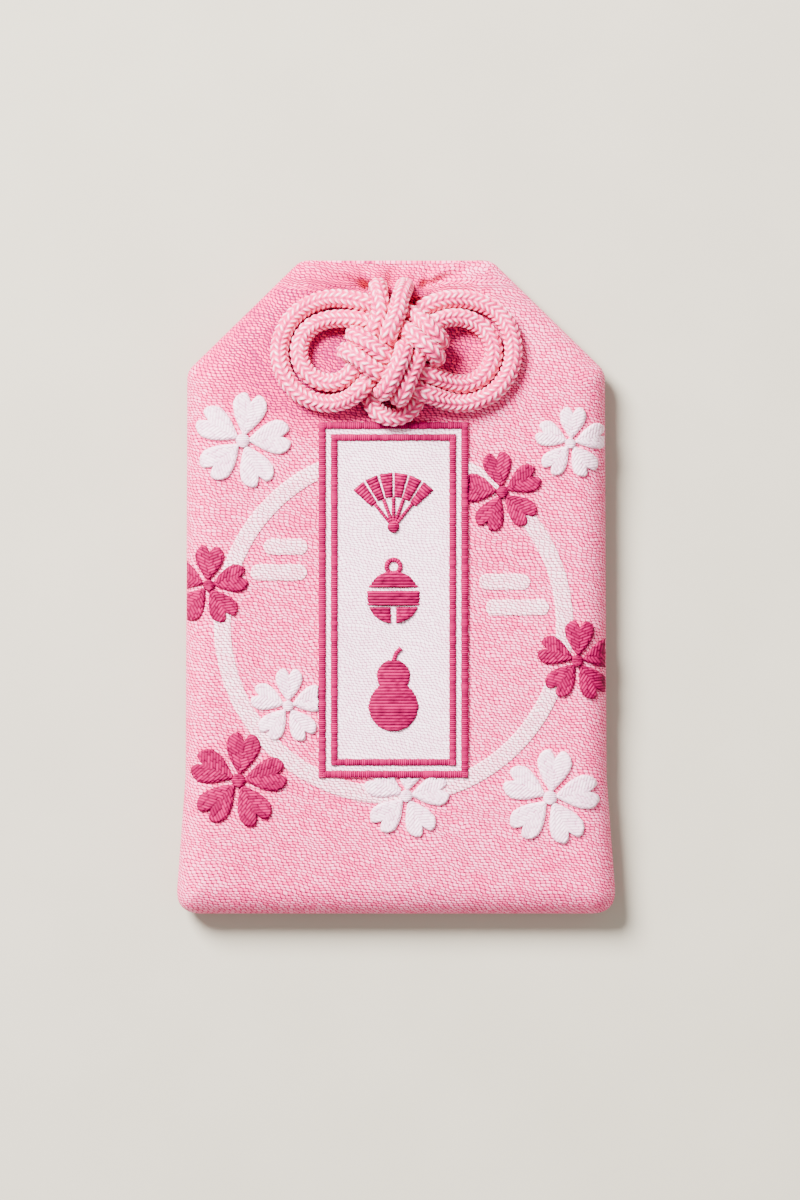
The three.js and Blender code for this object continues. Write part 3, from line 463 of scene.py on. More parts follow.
def edit(piece, operation, **settings):
    """Runs one mesh operation on the whole of a piece."""
    select(piece)
    bpy.ops.object.mode_set(mode="EDIT")
    bpy.ops.mesh.select_all(action="SELECT")
    operation(**settings)
    bpy.ops.object.mode_set(mode="OBJECT")


def thicken(piece, thickness):
    """Gives an open panel its wall, on the inside."""
    select(piece)
    wall = piece.modifiers.new("wall", "SOLIDIFY")
    wall.thickness = thickness
    wall.offset = -1
    bpy.ops.object.modifier_apply(modifier="wall")


def ride(piece, body, node):
    """Says which body a piece moves with and the solid that it replaces."""
    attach(piece, body)
    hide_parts(node)


class Value:
    """A shader value on which sums add their Math nodes."""

    def __init__(self, paint, socket):
        self.paint = paint
        self.socket = socket

    def math(self, operation, *others):
        return self.paint.value("ShaderNodeMath", {"operation": operation}, self, *others)

    def __add__(self, other):
        return self.math("ADD", other)

    def __sub__(self, other):
        return self.math("SUBTRACT", other)

    def __mul__(self, other):
        return self.math("MULTIPLY", other)

    def __truediv__(self, other):
        return self.math("DIVIDE", other)

    def __rsub__(self, other):
        return (self * -1).math("ADD", other)

    __radd__ = __add__
    __rmul__ = __mul__

    def part(self):
        """What is left over the whole number."""
        return self.math("FRACT")

    def whole(self):
        """The whole number at or below."""
        return self.math("FLOOR")

    def step(self, start, end):
        """0 before start and 1 after end, smoothly between."""
        settings = {"interpolation_type": "SMOOTHSTEP"}
        return self.paint.value("ShaderNodeMapRange", settings, self, start, end)


class Paint:
    """A node material and the few ways in which its nodes are added."""

    def __init__(self, name, constants=None):
        self.material = bpy.data.materials.new(name)
        self.material.use_nodes = True
        self.tree = self.material.node_tree
        self.shader = self.tree.nodes["Principled BSDF"]
        for label, value in (constants or {}).items():
            self.shader.inputs[label].default_value = value

    def node(self, kind, settings=None, *values, **named):
        """Adds a node, sets its settings, and then feeds its sockets by number or by name."""
        node = self.tree.nodes.new(kind)
        for label, value in (settings or {}).items():
            setattr(node, label, value)
        self.feed(node, [*enumerate(values), *named.items()])
        return node

    def feed(self, node, values):
        """Links a shader value to its socket, or sets a plain one."""
        for key, value in values:
            if isinstance(value, Value):
                self.tree.links.new(value.socket, node.inputs[key])
            else:
                node.inputs[key].default_value = value

    def value(self, kind, settings=None, *values, output=0, **named):
        """Adds a node and gives back one of its outputs."""
        return Value(self, self.node(kind, settings, *values, **named).outputs[output])

    def uv(self):
        """The place on the flat cloth, in millimetres."""
        node = self.node("ShaderNodeSeparateXYZ", None, self.value("ShaderNodeUVMap", {"uv_map": "cloth"}))
        return Value(self, node.outputs[0]), Value(self, node.outputs[1])

    def attribute(self, name):
        """A value that the mesh keeps at each of its points."""
        return self.value("ShaderNodeAttribute", {"attribute_name": name}, output="Fac")

    def place(self):
        """The place in the piece, in metres."""
        return self.value("ShaderNodeTexCoord", output="Object")

    def noise(self, vector, scale, detail=2.0):
        return self.value("ShaderNodeTexNoise", None, Vector=vector, Scale=scale, Detail=detail)

    def chance(self, x, y):
        """A fixed random value for each whole x and y."""
        vector = self.value("ShaderNodeCombineXYZ", None, x, y)
        return self.value("ShaderNodeTexWhiteNoise", {"noise_dimensions": "2D"}, Vector=vector)

    def nearness(self, centre, reach):
        """1 at a place of the cloth, given in millimetres, and 0 beyond its reach."""
        x, y = self.uv()
        across = (x - centre[0]) / reach[0]
        up = (y - centre[1]) / reach[1]
        return 1 - (across * across + up * up).step(0.0, 1.0)

    def mix(self, share, first, second):
        """One colour at 0 and the other at 1. The colour sockets of the node are numbers 6, 7 and 2."""
        node = self.node("ShaderNodeMix", {"data_type": "RGBA"})
        self.feed(node, ((0, share), (6, first), (7, second)))
        return Value(self, node.outputs[2])

    def link(self, label, value):
        self.tree.links.new(value.socket, self.shader.inputs[label])

    def bump(self, height, distance, strength=1.0):
        values = {"Height": height, "Distance": distance, "Strength": strength}
        self.link("Normal", self.value("ShaderNodeBump", None, **values))


def brocade(name, codes, float_length, float_width, relief=0.00012, shaded_round_knot=False):
    """Satin weave: short floats side by side along X, each row shifted, with a little wander.

    Where asked for, it is darker round the knot: painted shade.
    """
    paint = Paint(name, {"Specular IOR Level": 0.22})
    deep, body, light = map(colour, codes)
    x, y = paint.uv()
    wander = paint.noise(paint.place(), 300.0)
    row_place = (y + (wander - 0.5) * 1.3 + x * 0.12) / float_width
    row = row_place.whole()
    shift = row * 0.42 + paint.chance(row, row * 0.37) * 0.55
    cell_place = x / float_length + shift
    cell = cell_place.whole()
    along = cell_place.part() * 2 - 1
    across = row_place.part() * 2 - 1 + along * 0.35
    far_across = across * across
    far_along = along * along
    crest = (1 - far_across * far_across * 0.9) * (1 - far_along * far_along * far_along)
    lot = paint.chance(cell, row)
    cloudy = paint.noise(paint.place(), 90.0)
    # The crest of each float is painted lighter and the gaps between floats darker, so the light colour is
    # a painted highlight and the deep colour painted shade; each float's lot and the cloudy noise are the
    # cloth's own uneven colour.
    tone = crest * 0.8 + lot * 0.42 + (cloudy - 0.5) * 0.25 - 0.12
    # Painted shade round the knot.
    if shaded_round_knot:
        tone = tone - paint.nearness(KNOT_SHADE_CENTRE, KNOT_SHADE_REACH) * KNOT_SHADE_SHARE
    shadowed = paint.mix(tone.step(0.02, 0.5), deep, body)
    paint.link("Base Color", paint.mix(tone.step(0.5, 1.12), shadowed, light))
    paint.link("Roughness", 0.72 - crest * 0.34)
    paint.bump(crest + lot * 0.4, relief)
    return paint.material


def satin(name, codes, gloss, shine):
    """Stitched thread: painted shade between threads, a little different from thread to thread, with fine
    plies.
    """
    paint = Paint(name, {"Specular IOR Level": shine})
    deep, body, light = map(colour, codes)
    hollow = paint.attribute("hollow")
    shade = paint.attribute("shade")
    plies = paint.noise(paint.place(), 4200.0, 1.0)
    # The hollows between threads take the deep colour as painted shade, and the crests the light colour as
    # a painted highlight; the shade value is each thread's own tone, at random.
    tone = (1 - hollow) * 0.72 + shade * 0.3 + (plies - 0.5) * 0.2
    shadowed = paint.mix(tone.step(0.12, 0.52), deep, body)
    paint.link("Base Color", paint.mix(tone.step(0.56, 1.0), shadowed, light))
    paint.link("Roughness", gloss + hollow * 0.3 + (plies - 0.5) * 0.12)
    paint.bump(plies, 0.00003, 0.5)
    return paint.material


def plain(name, codes, scale, roughness, relief=0.00004):
    """Paper, card, wadding or wood: one colour with its own fine unevenness."""
    paint = Paint(name)
    light, dark = map(colour, codes)
    grain = paint.noise(paint.place(), scale, 4.0)
    paint.link("Base Color", paint.mix(grain.step(0.3, 0.75), dark, light))
    paint.link("Roughness", roughness + (grain - 0.5) * 0.1)
    paint.bump(grain, relief)
    return paint.material


def colour(code):
    """Red, green, blue and alpha in linear light, from a six-digit code."""
    shares = [int(code[i : i + 2], 16) / 255 for i in (0, 2, 4)]
    return [s / 12.92 if s <= 0.04045 else ((s + 0.055) / 1.055) ** 2.4 for s in shares] + [1.0]


def number_setting(name, description, default, unit="NONE"):
    """A number in the settings, in metres where its unit is a length."""
    return bpy.props.FloatProperty(name=name, description=description, default=default, unit=unit)


def colour_setting(name, description, default):
    """A colour in the settings, as a six-digit code."""
    return bpy.props.StringProperty(name=name, description=description, default=default)


class ClothSettings(bpy.types.PropertyGroup):
    float_length: number_setting("Float length", "Length of one float of the brocade, in millimetres", 0.62)
    float_width: number_setting("Float width", "Width of one float of the brocade, in millimetres", 0.34)
    # The deep pink is painted shade between the floats, and the light pink a painted highlight on them.
    deep: colour_setting("Deep pink", "Colour between the floats", "A8085A")
    body: colour_setting("Pink", "Main colour of the cloth", "F12C76")
    light: colour_setting("Light pink", "Colour of the raised floats", "FF86B0")


class CordSettings(bpy.types.PropertyGroup):
    diameter: number_setting("Diameter", "Diameter of the braided cord", 0.0023, "LENGTH")
    relief: number_setting("Relief", "Depth between the strands of the braid", 0.00034, "LENGTH")
    pitch: number_setting("Stitch pitch", "Length of one V of the braid", 0.00074, "LENGTH")
    lean: number_setting("Lean", "How far each V points, in pitches", 0.95)
    # The deep pink is painted shade between the strands, and the light pink a painted highlight on them.
    deep: colour_setting("Deep pink", "Colour between the strands", "8E0648")
    body: colour_setting("Pink", "Main colour of the cord", "DC1268")
    light: colour_setting("Light pink", "Colour on the strands", "FFCCDA")


class StitchSettings(bpy.types.PropertyGroup):
    thread: number_setting("Thread", "Width of one stitch of the blossoms", 0.00036, "LENGTH")
    rise: number_setting("Rise", "Height of the stitched pads above the cloth", 0.0005, "LENGTH")
    magenta: colour_setting("Magenta", "Colour of the dark thread", "720034")
    # The pale thread's colour is the light end of its satin, on the crests of the stitches: partly the
    # thread's own white and partly a painted highlight.
    white: colour_setting("White", "Colour of the pale thread", "F3D3E0")


# Steps, and shares of each push, of the passes that settle against each other.
SETTLE_STEP = 0.0006
SETTLE_PASSES = 800
PUSH_SHARE = 0.12
EVEN_SHARE = 0.06
ROUND_SHARE = 0.3
HOLD_SHARE = 0.01
REACH_SHARE = 1.6
CURVE_STEPS = 24

# Ring and stitch counts of the braid, and how far each ring is turned back towards upright.
BRAID_STEP = 0.00012
BRAID_SIDES = 44
BRAID_COLUMNS = 4
BRAID_SEED = 7
UPRIGHT_SHARE = 0.04


def lengths_along(course):
    """How long a course is from its start to each of its points."""
    return np.concatenate([[0], np.cumsum(np.linalg.norm(np.diff(course, axis=0), axis=1))])


def read_off(places, known, course):
    """Places on a course, where each of its points stands at a known number."""
    return np.stack([np.interp(places, known, column) for column in course.T], axis=-1)


def even_points(points, step):
    """Even places along a centripetal Catmull-Rom curve through the points."""
    ends = [2 * points[0] - points[1]], [2 * points[-1] - points[-2]]
    p = np.concatenate([ends[0], points, ends[1]])
    spans = np.sqrt(np.linalg.norm(np.diff(p, axis=0), axis=1))[:, None]
    before, now, after = spans[:-2], spans[1:-1], spans[2:]
    p0, p1, p2, p3 = p[:-3], p[1:-2], p[2:-1], p[3:]
    leave = ((p1 - p0) / before - (p2 - p0) / (before + now) + (p2 - p1) / now) * now
    arrive = ((p2 - p1) / now - (p3 - p1) / (now + after) + (p3 - p2) / after) * now
    t = np.linspace(0, 1, CURVE_STEPS, endpoint=False)[None, :, None]
    p1, p2, leave, arrive = (side[:, None] for side in (p1, p2, leave, arrive))
    cubic = (2 * p1 - 2 * p2 + leave + arrive) * t ** 3 + (3 * p2 - 3 * p1 - 2 * leave - arrive) * t ** 2
    fine = np.concatenate([(cubic + leave * t + p1).reshape(-1, 3), points[-1:]])
    lengths = lengths_along(fine)
    return read_off(np.linspace(0, lengths[-1], round(lengths[-1] / step) + 1), lengths, fine)


def settle(start):
    """Pushes touching turns of the cord apart and keeps its bends round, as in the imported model."""
    points = start.copy()
    count = len(points)
    skip = round(REACH_SHARE * SPACING / SETTLE_STEP)
    apart_enough = np.triu(np.ones((count, count), dtype=bool), skip)
    for _ in range(SETTLE_PASSES):
        moves = np.zeros_like(points)
        offsets = points[:, None] - points[None]
        apart = np.sqrt(np.einsum("ijk,ijk->ij", offsets, offsets))
        i, j = np.nonzero(apart_enough & (apart < SPACING))
        near = apart[i, j][:, None]
        push = offsets[i, j] / near * (PUSH_SHARE * (SPACING - near))
        np.add.at(moves, i, push)
        np.subtract.at(moves, j, push)
        inner = points[2:-2]
        sides = points[1:-3] + points[3:-1]
        outer = points[:-4] + points[4:]
        moved = inner + moves[2:-2] + (sides / 2 - inner) * EVEN_SHARE
        moved += ((sides * 4 - outer) / 6 - inner) * ROUND_SHARE + (start[2:-2] - inner) * HOLD_SHARE
        moved[:, 2] = np.maximum(moved[:, 2], REST_LIFT)
        points[2:-2] = moved
    return points


def turned_frames(points):
    """Two directions across the cord at each point, turned as little as can be and kept near upright."""
    ahead = np.gradient(points, axis=0)
    ahead /= np.linalg.norm(ahead, axis=1, keepdims=True)
    upright = UPRIGHT_SHARE * np.array([0.0, 0.0, 1.0])
    side = np.cross(ahead[0], [0.0, 1.0, 0.0])
    firsts = []
    for direction in ahead:
        side = side + upright
        side -= direction * (side @ direction)
        side /= np.linalg.norm(side)
        firsts.append(side)
    firsts = np.array(firsts)
    return firsts, np.cross(ahead, firsts), ahead


def braided_tube(form, points, cord):
    """A round braid along even points: rows of V stitches side by side, with a round end at each end."""
    first, second, ahead = turned_frames(points)
    turn = np.arange(BRAID_SIDES) / BRAID_SIDES
    along = np.arange(len(points))[:, None] * BRAID_STEP
    across = np.abs((turn * BRAID_COLUMNS % 1) * 2 - 1)[None]
    strand = along / cord.pitch - cord.lean * across
    crest = np.sin(math.pi * (strand % 1)) ** 0.8 * (1 - 0.75 * across ** 6) * (1 - 0.5 * (1 - across) ** 6)
    lots = np.random.default_rng(BRAID_SEED).random((int(along.max() / cord.pitch) + 8, BRAID_COLUMNS))
    shade = 0.35 + 0.4 * lots[(np.floor(strand) + 4).astype(int), (turn * BRAID_COLUMNS).astype(int)[None]]
    radius = cord.diameter / 2 - cord.relief * (1 - crest)
    start = np.sqrt(1 - np.linspace(0.985, 0, 8, endpoint=False) ** 2)
    angle = 2 * math.pi * turn
    rim = np.cos(angle)[None, :, None] * first[:, None] + np.sin(angle)[None, :, None] * second[:, None]
    rings = points[:, None] + rim * radius[..., None]
    blocks = []
    for place, sign in ((0, -1), (-1, 1)):
        shares = start if sign < 0 else start[::-1]
        reach = np.sqrt(1 - shares ** 2) * cord.diameter / 2 * sign
        cap = points[place] + rim[place][None] * (radius[place][None] * shares[:, None])[..., None]
        blocks.append(cap + (ahead[place] * reach[:, None])[:, None])
    rings = np.concatenate([blocks[0], rings, blocks[1]])
    edge = len(start)
    # The hollow between the strands, which the satin paints as shade.
    hollow = np.pad(1 - crest, ((edge, edge), (0, 0)), mode="edge")
    shade = np.pad(shade, ((edge, edge), (0, 0)), mode="edge")
    form.tube(form.add(rings, hollow, shade))


def knot_path():
    """The route with its passes settled against each other, laid on the front."""
    settled = settle(even_points(np.array(ROUTE), SETTLE_STEP))
    settled[:, 2] += front_height(settled[:, 0], settled[:, 1])
    return even_points(settled, BRAID_STEP)


# Rows of the grid for each stitch, and sizes of the pads and lines.
PLIES = 5
PAD_SIDES = 12
STITCH_LENGTH = 0.0011
LINE_SIDES = 9
LINE_PITCH = 0.0003


def spread(left, right, shares):
    """Rows of places from one edge to the other."""
    return left[:, None] + (right - left)[:, None] * shares[None, :, None]


def stitched_rows(form, ends, rise, relief, seed, lift=0.0):
    """A satin-stitched pad: each stitch lies between two pairs of ends and crosses the whole pad."""
    random = np.random.default_rng(seed)
    count = len(ends) - 1
    places = np.linspace(0, count, count * PLIES + 1)
    left, right = (read_off(places, range(count + 1), ends[:, end]) for end in range(2))
    flat = spread(left, right, (graded(PAD_SIDES) + 1) / 2)
    stitch = np.minimum(places.astype(int), count - 1)
    crest = np.sin(math.pi * (places % 1))[:, None] ** 0.6
    lot = random.uniform(0.0, 1.0, count)[stitch][:, None]
    middle = flat.mean(axis=1, keepdims=True)
    flat = middle + (flat - middle) * (1 + 0.05 * (lot - 0.5) + 0.04 * (crest - 0.6))[..., None]
    x, y = flat[..., 0], flat[..., 1]
    along = np.pad(np.cumsum(np.linalg.norm(np.diff(flat, axis=1), axis=2), axis=1), ((0, 0), (1, 0)))
    dips = (0.5 + 0.5 * np.sin(along / STITCH_LENGTH * 2 * math.pi + 40 * lot)) ** 6
    across = np.abs(graded(PAD_SIDES))[None]
    ends = smooth(np.minimum(places, count - places) / 0.8 + 0.25)[:, None]
    dome = np.sqrt(1 - 0.97 * across ** 3) * ends
    base = cloth_height(x, y) + lift
    top = base + dome * (rise - relief * (1 - crest) - 0.3 * relief * dips)
    # The hollow between stitches and at their dips, which the satin paints as shade.
    hollow = np.clip((1 - crest) * 0.95 + 0.5 * dips, 0, 1)
    form.pad(x, y, base, top, hollow, np.broadcast_to(lot, x.shape))


def stitched_line(form, points, width, rise, pitch, seed, closed=False, lift=0.0):
    """A line of short stitches laid across its course, rounded in section."""
    random = np.random.default_rng(seed)
    course = np.array(points, dtype=float)
    if closed:
        course = np.concatenate([course, course[:1]])
    lengths = lengths_along(course)
    count = max(round(lengths[-1] / pitch), 2)
    places = np.linspace(0, lengths[-1], count * PLIES + 1)
    if closed:
        places = places[:-1]
    middle = read_off(places, lengths, course)
    segment = np.clip(np.searchsorted(lengths, places, side="right") - 1, 0, len(course) - 2)
    steps = np.diff(course, axis=0)
    ahead = (steps / np.linalg.norm(steps, axis=1, keepdims=True))[segment]
    stitches = places / lengths[-1] * count
    crest = np.sin(math.pi * (stitches % 1)) ** 0.6
    lot = random.uniform(0, 1, count)[np.minimum(stitches.astype(int), count - 1)]
    half = width / 2 * (1 + 0.14 * (lot - 0.5) + 0.07 * (crest - 0.6))
    angles = np.linspace(0, math.pi, LINE_SIDES)
    side = np.stack([-ahead[:, 1], ahead[:, 0]], axis=-1)
    flat = middle[:, None] + side[:, None] * (half[:, None] * np.cos(angles))[..., None]
    x, y = flat[..., 0], flat[..., 1]
    base = cloth_height(x, y) + lift
    height = base + np.sin(angles)[None] ** 0.8 * (rise * (0.78 + 0.22 * crest))[:, None]
    upper = np.stack([x, y, height], axis=-1)
    under = np.stack([x[:, ::-2], y[:, ::-2], base[:, ::-2] - SINK], axis=-1)
    rings = np.concatenate([upper, under], axis=1)
    # The hollow between stitches, which the satin paints as shade.
    hollow = np.broadcast_to((1 - crest)[:, None] * 0.9, rings.shape[:2])
    shade = np.broadcast_to(lot[:, None], rings.shape[:2])
    form.tube(form.add(rings, hollow, shade), closed)


# Half a petal as shares of the blossom's radius: its side, then its tip from the notch outwards.
PETAL_SIDE_SHARES = ((0.13, 0.03), (0.3, 0.16), (0.45, 0.26), (0.6, 0.33), (0.75, 0.365), (0.88, 0.33))
PETAL_TIP_SHARES = ((0.0, 0.82), (0.12, 0.9), (0.3, 0.98), (0.5, 1.0), (0.75, 0.965), (1.0, 0.87))
MIDDLE_SHARE = 0.15
MIDDLE_THREAD_SHARE = 0.6
MIDDLE_RISE_SHARE = 1.3
MIDDLE_RELIEF = 0.0001
PETAL_ROWS = 64
PETAL_COLUMNS = 52
PETAL_FLOAT = 0.00095
PETAL_SLANT = 0.45
PETAL_ROUND = 0.00035
FLOAT_RELIEF = 0.00011
FLOAT_ROUND = 0.0001
LOTS = (97, 89)


def petal(form, centre, radius, axis, stitch, seed):
    """One heart-shaped petal of short floats, slanted away from its middle line on both sides."""
    start, end = PETAL_SIDE_SHARES[0][0], PETAL_SIDE_SHARES[-1][0]
    along = np.linspace(0, 1, PETAL_ROWS)[:, None]
    across = graded(PETAL_COLUMNS)[None]
    tip = np.interp(np.abs(across), *np.transpose(PETAL_TIP_SHARES))
    reach = start + (tip - start) * along
    half = np.interp(start + (end - start) * along, *np.transpose(PETAL_SIDE_SHARES))
    local = radius * np.stack([reach, half * across], axis=-1)
    slanted = local[..., 0] - PETAL_SLANT * np.abs(local[..., 1])
    crest, lot = floats(local[..., 1], slanted, PETAL_FLOAT, stitch.thread, seed)
    cos, sin = math.cos(axis), math.sin(axis)
    flat = hold_on_front(np.array(centre) + local @ np.array([[cos, sin], [-sin, cos]]))
    x, y = flat[..., 0], flat[..., 1]
    to_side = radius * half * (1 - np.abs(across))
    edge = np.minimum(to_side, radius * (tip - start) * np.minimum(along, 1 - along))
    base = cloth_height(x, y)
    top = base + stitch.rise * quarter_round(edge / PETAL_ROUND + 0.06)
    top = top - FLOAT_RELIEF * (1 - crest) * smooth(edge / FLOAT_ROUND)
    swell = swollen(x, y)
    # 1 - crest is the hollow between floats, which the satin paints as shade.
    form.pad(x * swell, y * swell, base, top, 1 - crest, lot)


def floats(x, y, length, width, seed):
    """Short floats side by side along X: how high each place lies on its float, and the float's share."""
    lots = np.random.default_rng(seed).random(LOTS)
    row = y / width
    row_lot = np.floor(row).astype(int) % LOTS[0]
    cell = x / length + lots[row_lot, 0]
    lot = lots[row_lot, np.floor(cell).astype(int) % LOTS[1]]
    crest = (1 - (row % 1 * 2 - 1) ** 2 * 0.85) * (1 - (cell % 1 * 2 - 1) ** 8)
    return crest, lot


def disc_rows(centre, radius, thread, start=-1.0, end=1.0):
    """Ends of level stitches that fill a disc between two heights, given as shares of its radius."""
    count = max(round(radius * (end - start) / thread), 2)
    height = np.linspace(start, end, count + 1)
    half = np.sqrt(np.clip(1 - height ** 2, 0.0025, 1))
    sides = [centre[0] - radius * half, centre[0] + radius * half]
    return np.stack([np.stack([x, centre[1] + radius * height], axis=-1) for x in sides], axis=1)


def woven_patch(form, left, right, rise, sides=WOVEN_SIDES):
    """A patch of the same satin weave, a little proud of the cloth, between two edges."""
    share = (graded(sides) + 1) / 2
    flat = spread(left, right, share)
    x, y = flat[..., 0], flat[..., 1]
    edge = np.minimum(share, 1 - share) * np.linalg.norm(right - left, axis=1)[:, None]
    base = cloth_height(x, y)
    form.pad(x, y, base, base + rise * quarter_round(edge / WOVEN_ROUND + 0.1))


def pink_brocade(name, shaded_round_knot=False):
    """The cloth of both panels, from the settings."""
    cloth = bpy.context.scene.charm_cloth
    tones = (cloth.deep, cloth.body, cloth.light)
    # Where asked for, the cloth gets painted shade round the knot.
    return brocade(name, tones, cloth.float_length, cloth.float_width, shaded_round_knot=shaded_round_knot)


def magenta_satin(stitch):
    """The dark thread of the plaque and of four blossoms."""
    # The deepest of these colours is painted shade between the stitches, and the lightest a painted
    # highlight on their crests.
    return satin("magenta thread", ("3A0016", stitch.magenta, "A40050"), 0.36, 0.02)


def panel(height, sag=0.0):
    """One panel of the pouch as a fine grid, with the weave laid out along its surface."""
    y = (TOP_Y * graded(PANEL_ROWS))[:, None]
    x = half_width(y) * graded(PANEL_COLUMNS)[None]
    y = np.broadcast_to(y, x.shape)
    z = height(x, y)
    dip = np.clip(1 - (x / (MOUTH_HALF_WIDTH * LIP_SAG_SHARE)) ** 2, 0, None)
    lowered = y - sag * dip * smooth((y - TOP_Y + LIP_REACH) / LIP_REACH)
    swell = swollen(x, y)
    points = np.stack([x * swell, lowered * swell, z], axis=-1)
    along = np.pad(np.cumsum(np.hypot(np.diff(x, axis=1), np.diff(z, axis=1)), axis=1), ((0, 0), (1, 0)))
    middle = PANEL_COLUMNS // 2
    along -= along[:, middle : middle + 1]
    rise = np.hypot(np.diff(y[:, middle]), np.diff(z[:, middle]))
    up = np.pad(np.cumsum(rise), (1, 0))
    uv = np.stack([along, np.broadcast_to((up - up[PANEL_ROWS // 2])[:, None], x.shape)], axis=-1) / MM
    form = Form()
    form.quads(form.add(points, uv=uv))
    return form


class CHARM_OT_cloth(bpy.types.Operator):
    """Sews the front and back panels of brocade, gathered at the cord's two holes"""

    bl_idname = "charm.cloth"
    bl_label = "Cloth"

    def execute(self, context):
        # The front is painted darker round the knot, as shade.
        shaded_round_knot = pink_brocade("front brocade", shaded_round_knot=True)
        front = panel(cloth_height, LIP_DIP).finish("front_cloth", shaded_round_knot)
        back = panel(back_height).finish("back_cloth", pink_brocade("pink brocade"))
        for piece, node, up in ((front, "front_panel", 1), (back, "back_panel", -1)):
            face_out(piece, up)
            thicken(piece, CLOTH)
            ride(piece, "pouch", node)
        return {"FINISHED"}


def face_out(piece, up):
    """Turns an open panel so that its middle faces up, or down."""
    middle = piece.data.polygons[len(piece.data.polygons) // 2]
    if middle.normal.z * up < 0:
        edit(piece, bpy.ops.mesh.flip_normals)


class CHARM_OT_inside(bpy.types.Operator):
    """Gives the lining, card, wadding, paper package, folded corners and thread their finishes"""

    bl_idname = "charm.inside"
    bl_label = "Inside"

    def execute(self, context):
        # The deepest colour is painted shade between the floats, and the lightest a painted highlight on
        # them.
        lining = brocade("lining", ("C95C7C", "E58AA2", "EFA6B8"), 0.3, 0.3, 0.00004)
        materials = {
            "front_lining": lining,
            "back_lining": lining,
            "stiffener_card": plain("pressed card", ("D2C4A8", "B5A68A"), 900.0, 0.85),
            "wadding_pad": plain("wadding", ("F3F1EC", "D9D6CF"), 700.0, 0.95, 0.0002),
            "talisman_slip": plain("planed wood", ("DDBE8E", "C29C66"), 300.0, 0.6),
            "talisman_wrapper": plain("paper", ("F5F0E6", "E6DFD0"), 1500.0, 0.8),
            "wrapper_band": plain("band", ("D80F62", "A80A4A"), 1500.0, 0.5),
            "left_corner_fold": lining,
            "right_corner_fold": lining,
            "seam_thread": plain("sewing thread", ("F08FA6", "DD6F8B"), 3000.0, 0.5),
        }
        for node, material in materials.items():
            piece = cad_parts[node]
            piece.data.materials.clear()
            piece.data.materials.append(material)
        return {"FINISHED"}


class CHARM_OT_span(bpy.types.Operator):
    """Lays the stretch of cord that crosses the back of the pouch from hole to hole"""

    bl_idname = "charm.span"
    bl_label = "Cord span"

    def execute(self, context):
        low = SPAN_HEIGHT + SPAN_BEND
        drawn = []
        for x, inward in zip(HOLE_XS, (1, -1)):
            top = float(front_height(np.array(x), np.array(HOLE_Y))) + LEG_LIFT
            side = [(x, top), (x, (top + low) / 2), (x, low), (x + inward * SPAN_BEND, SPAN_HEIGHT)]
            drawn += side[::inward]
        points = even_points(np.array([(x, HOLE_Y, z) for x, z in drawn]), BRAID_STEP)
        braid("braided_span", points, "pouch", "cord_span")
        return {"FINISHED"}


def braid(name, points, body, node):
    """Makes a piece of braided cord along even points."""
    cord = bpy.context.scene.charm_cord
    codes = (cord.deep, cord.body, cord.light)
    silk = bpy.data.materials.get("braided silk") or satin("braided silk", codes, 0.3, 0.5)
    form = Form()
    braided_tube(form, points, cord)
    piece = form.finish(name, silk)
    ride(piece, body, node)
    return piece


class CHARM_OT_knot(bpy.types.Operator):
    """Ties the braided cord: a crown of crossing turns, two ears on each side and a loop at the foot"""

    bl_idname = "charm.knot"
    bl_label = "Knot"

    def execute(self, context):
        points = knot_path()
        piece = braid("braided_knot", points, "knot", "knot_cord")
        return {"FINISHED"}


# Widths and rises of the lines in the motifs, sizes of the fan and the hanger, and seeds of uneven thread.
STICK = (0.00042, 0.00035)
HANGER = (0.00055, 0.0004)
STALK = (0.0005, 0.0004)
FAN_DROP = 0.0032
FAN_ENDS = (0.23 * math.pi, 0.77 * math.pi)
PLEATS = 6
PLEAT_GAP = 0.02
STICKS = 5
STICK_START = 0.0005
RIVET_RADIUS = 0.0007
RIVET_RISE = 0.0005
HANGER_RADIUS = 0.0008
HANGER_RISE = 0.0005
MOTIF_RELIEF = 0.00012
PLEAT_SEED, STICK_SEED, RIVET_SEED = 40, 50, 60
BAND_SEED, FOOT_SEED, HANGER_SEED = 70, 80, 90
GOURD_SEED, STALK_SEED = 95, 96


def frame_line(form, inset, line, seed, stitch):
    """One stitched line of the plaque's double frame."""
    half_x = PLAQUE_WIDTH / 2 - inset - line / 2
    half_y = PLAQUE_LENGTH / 2 - inset - line / 2
    x, y = PLAQUE_CENTRE
    corners = np.array([(x + i * half_x, y + j * half_y) for i, j in ((-1, -1), (1, -1), (1, 1), (-1, 1))])
    for i, (corner, after) in enumerate(zip(corners, np.roll(corners, -1, axis=0))):
        ahead = after - corner
        lap = ahead / np.linalg.norm(ahead) * line * CORNER_LAP
        ends = [corner - lap, after + lap]
        rise, pitch = stitch.rise * LOW_RISE_SHARE, stitch.thread * FRAME_THREAD_SHARE
        stitched_line(form, ends, line, rise, pitch, seed + i, lift=FRAME_LIFTS[i % 2])


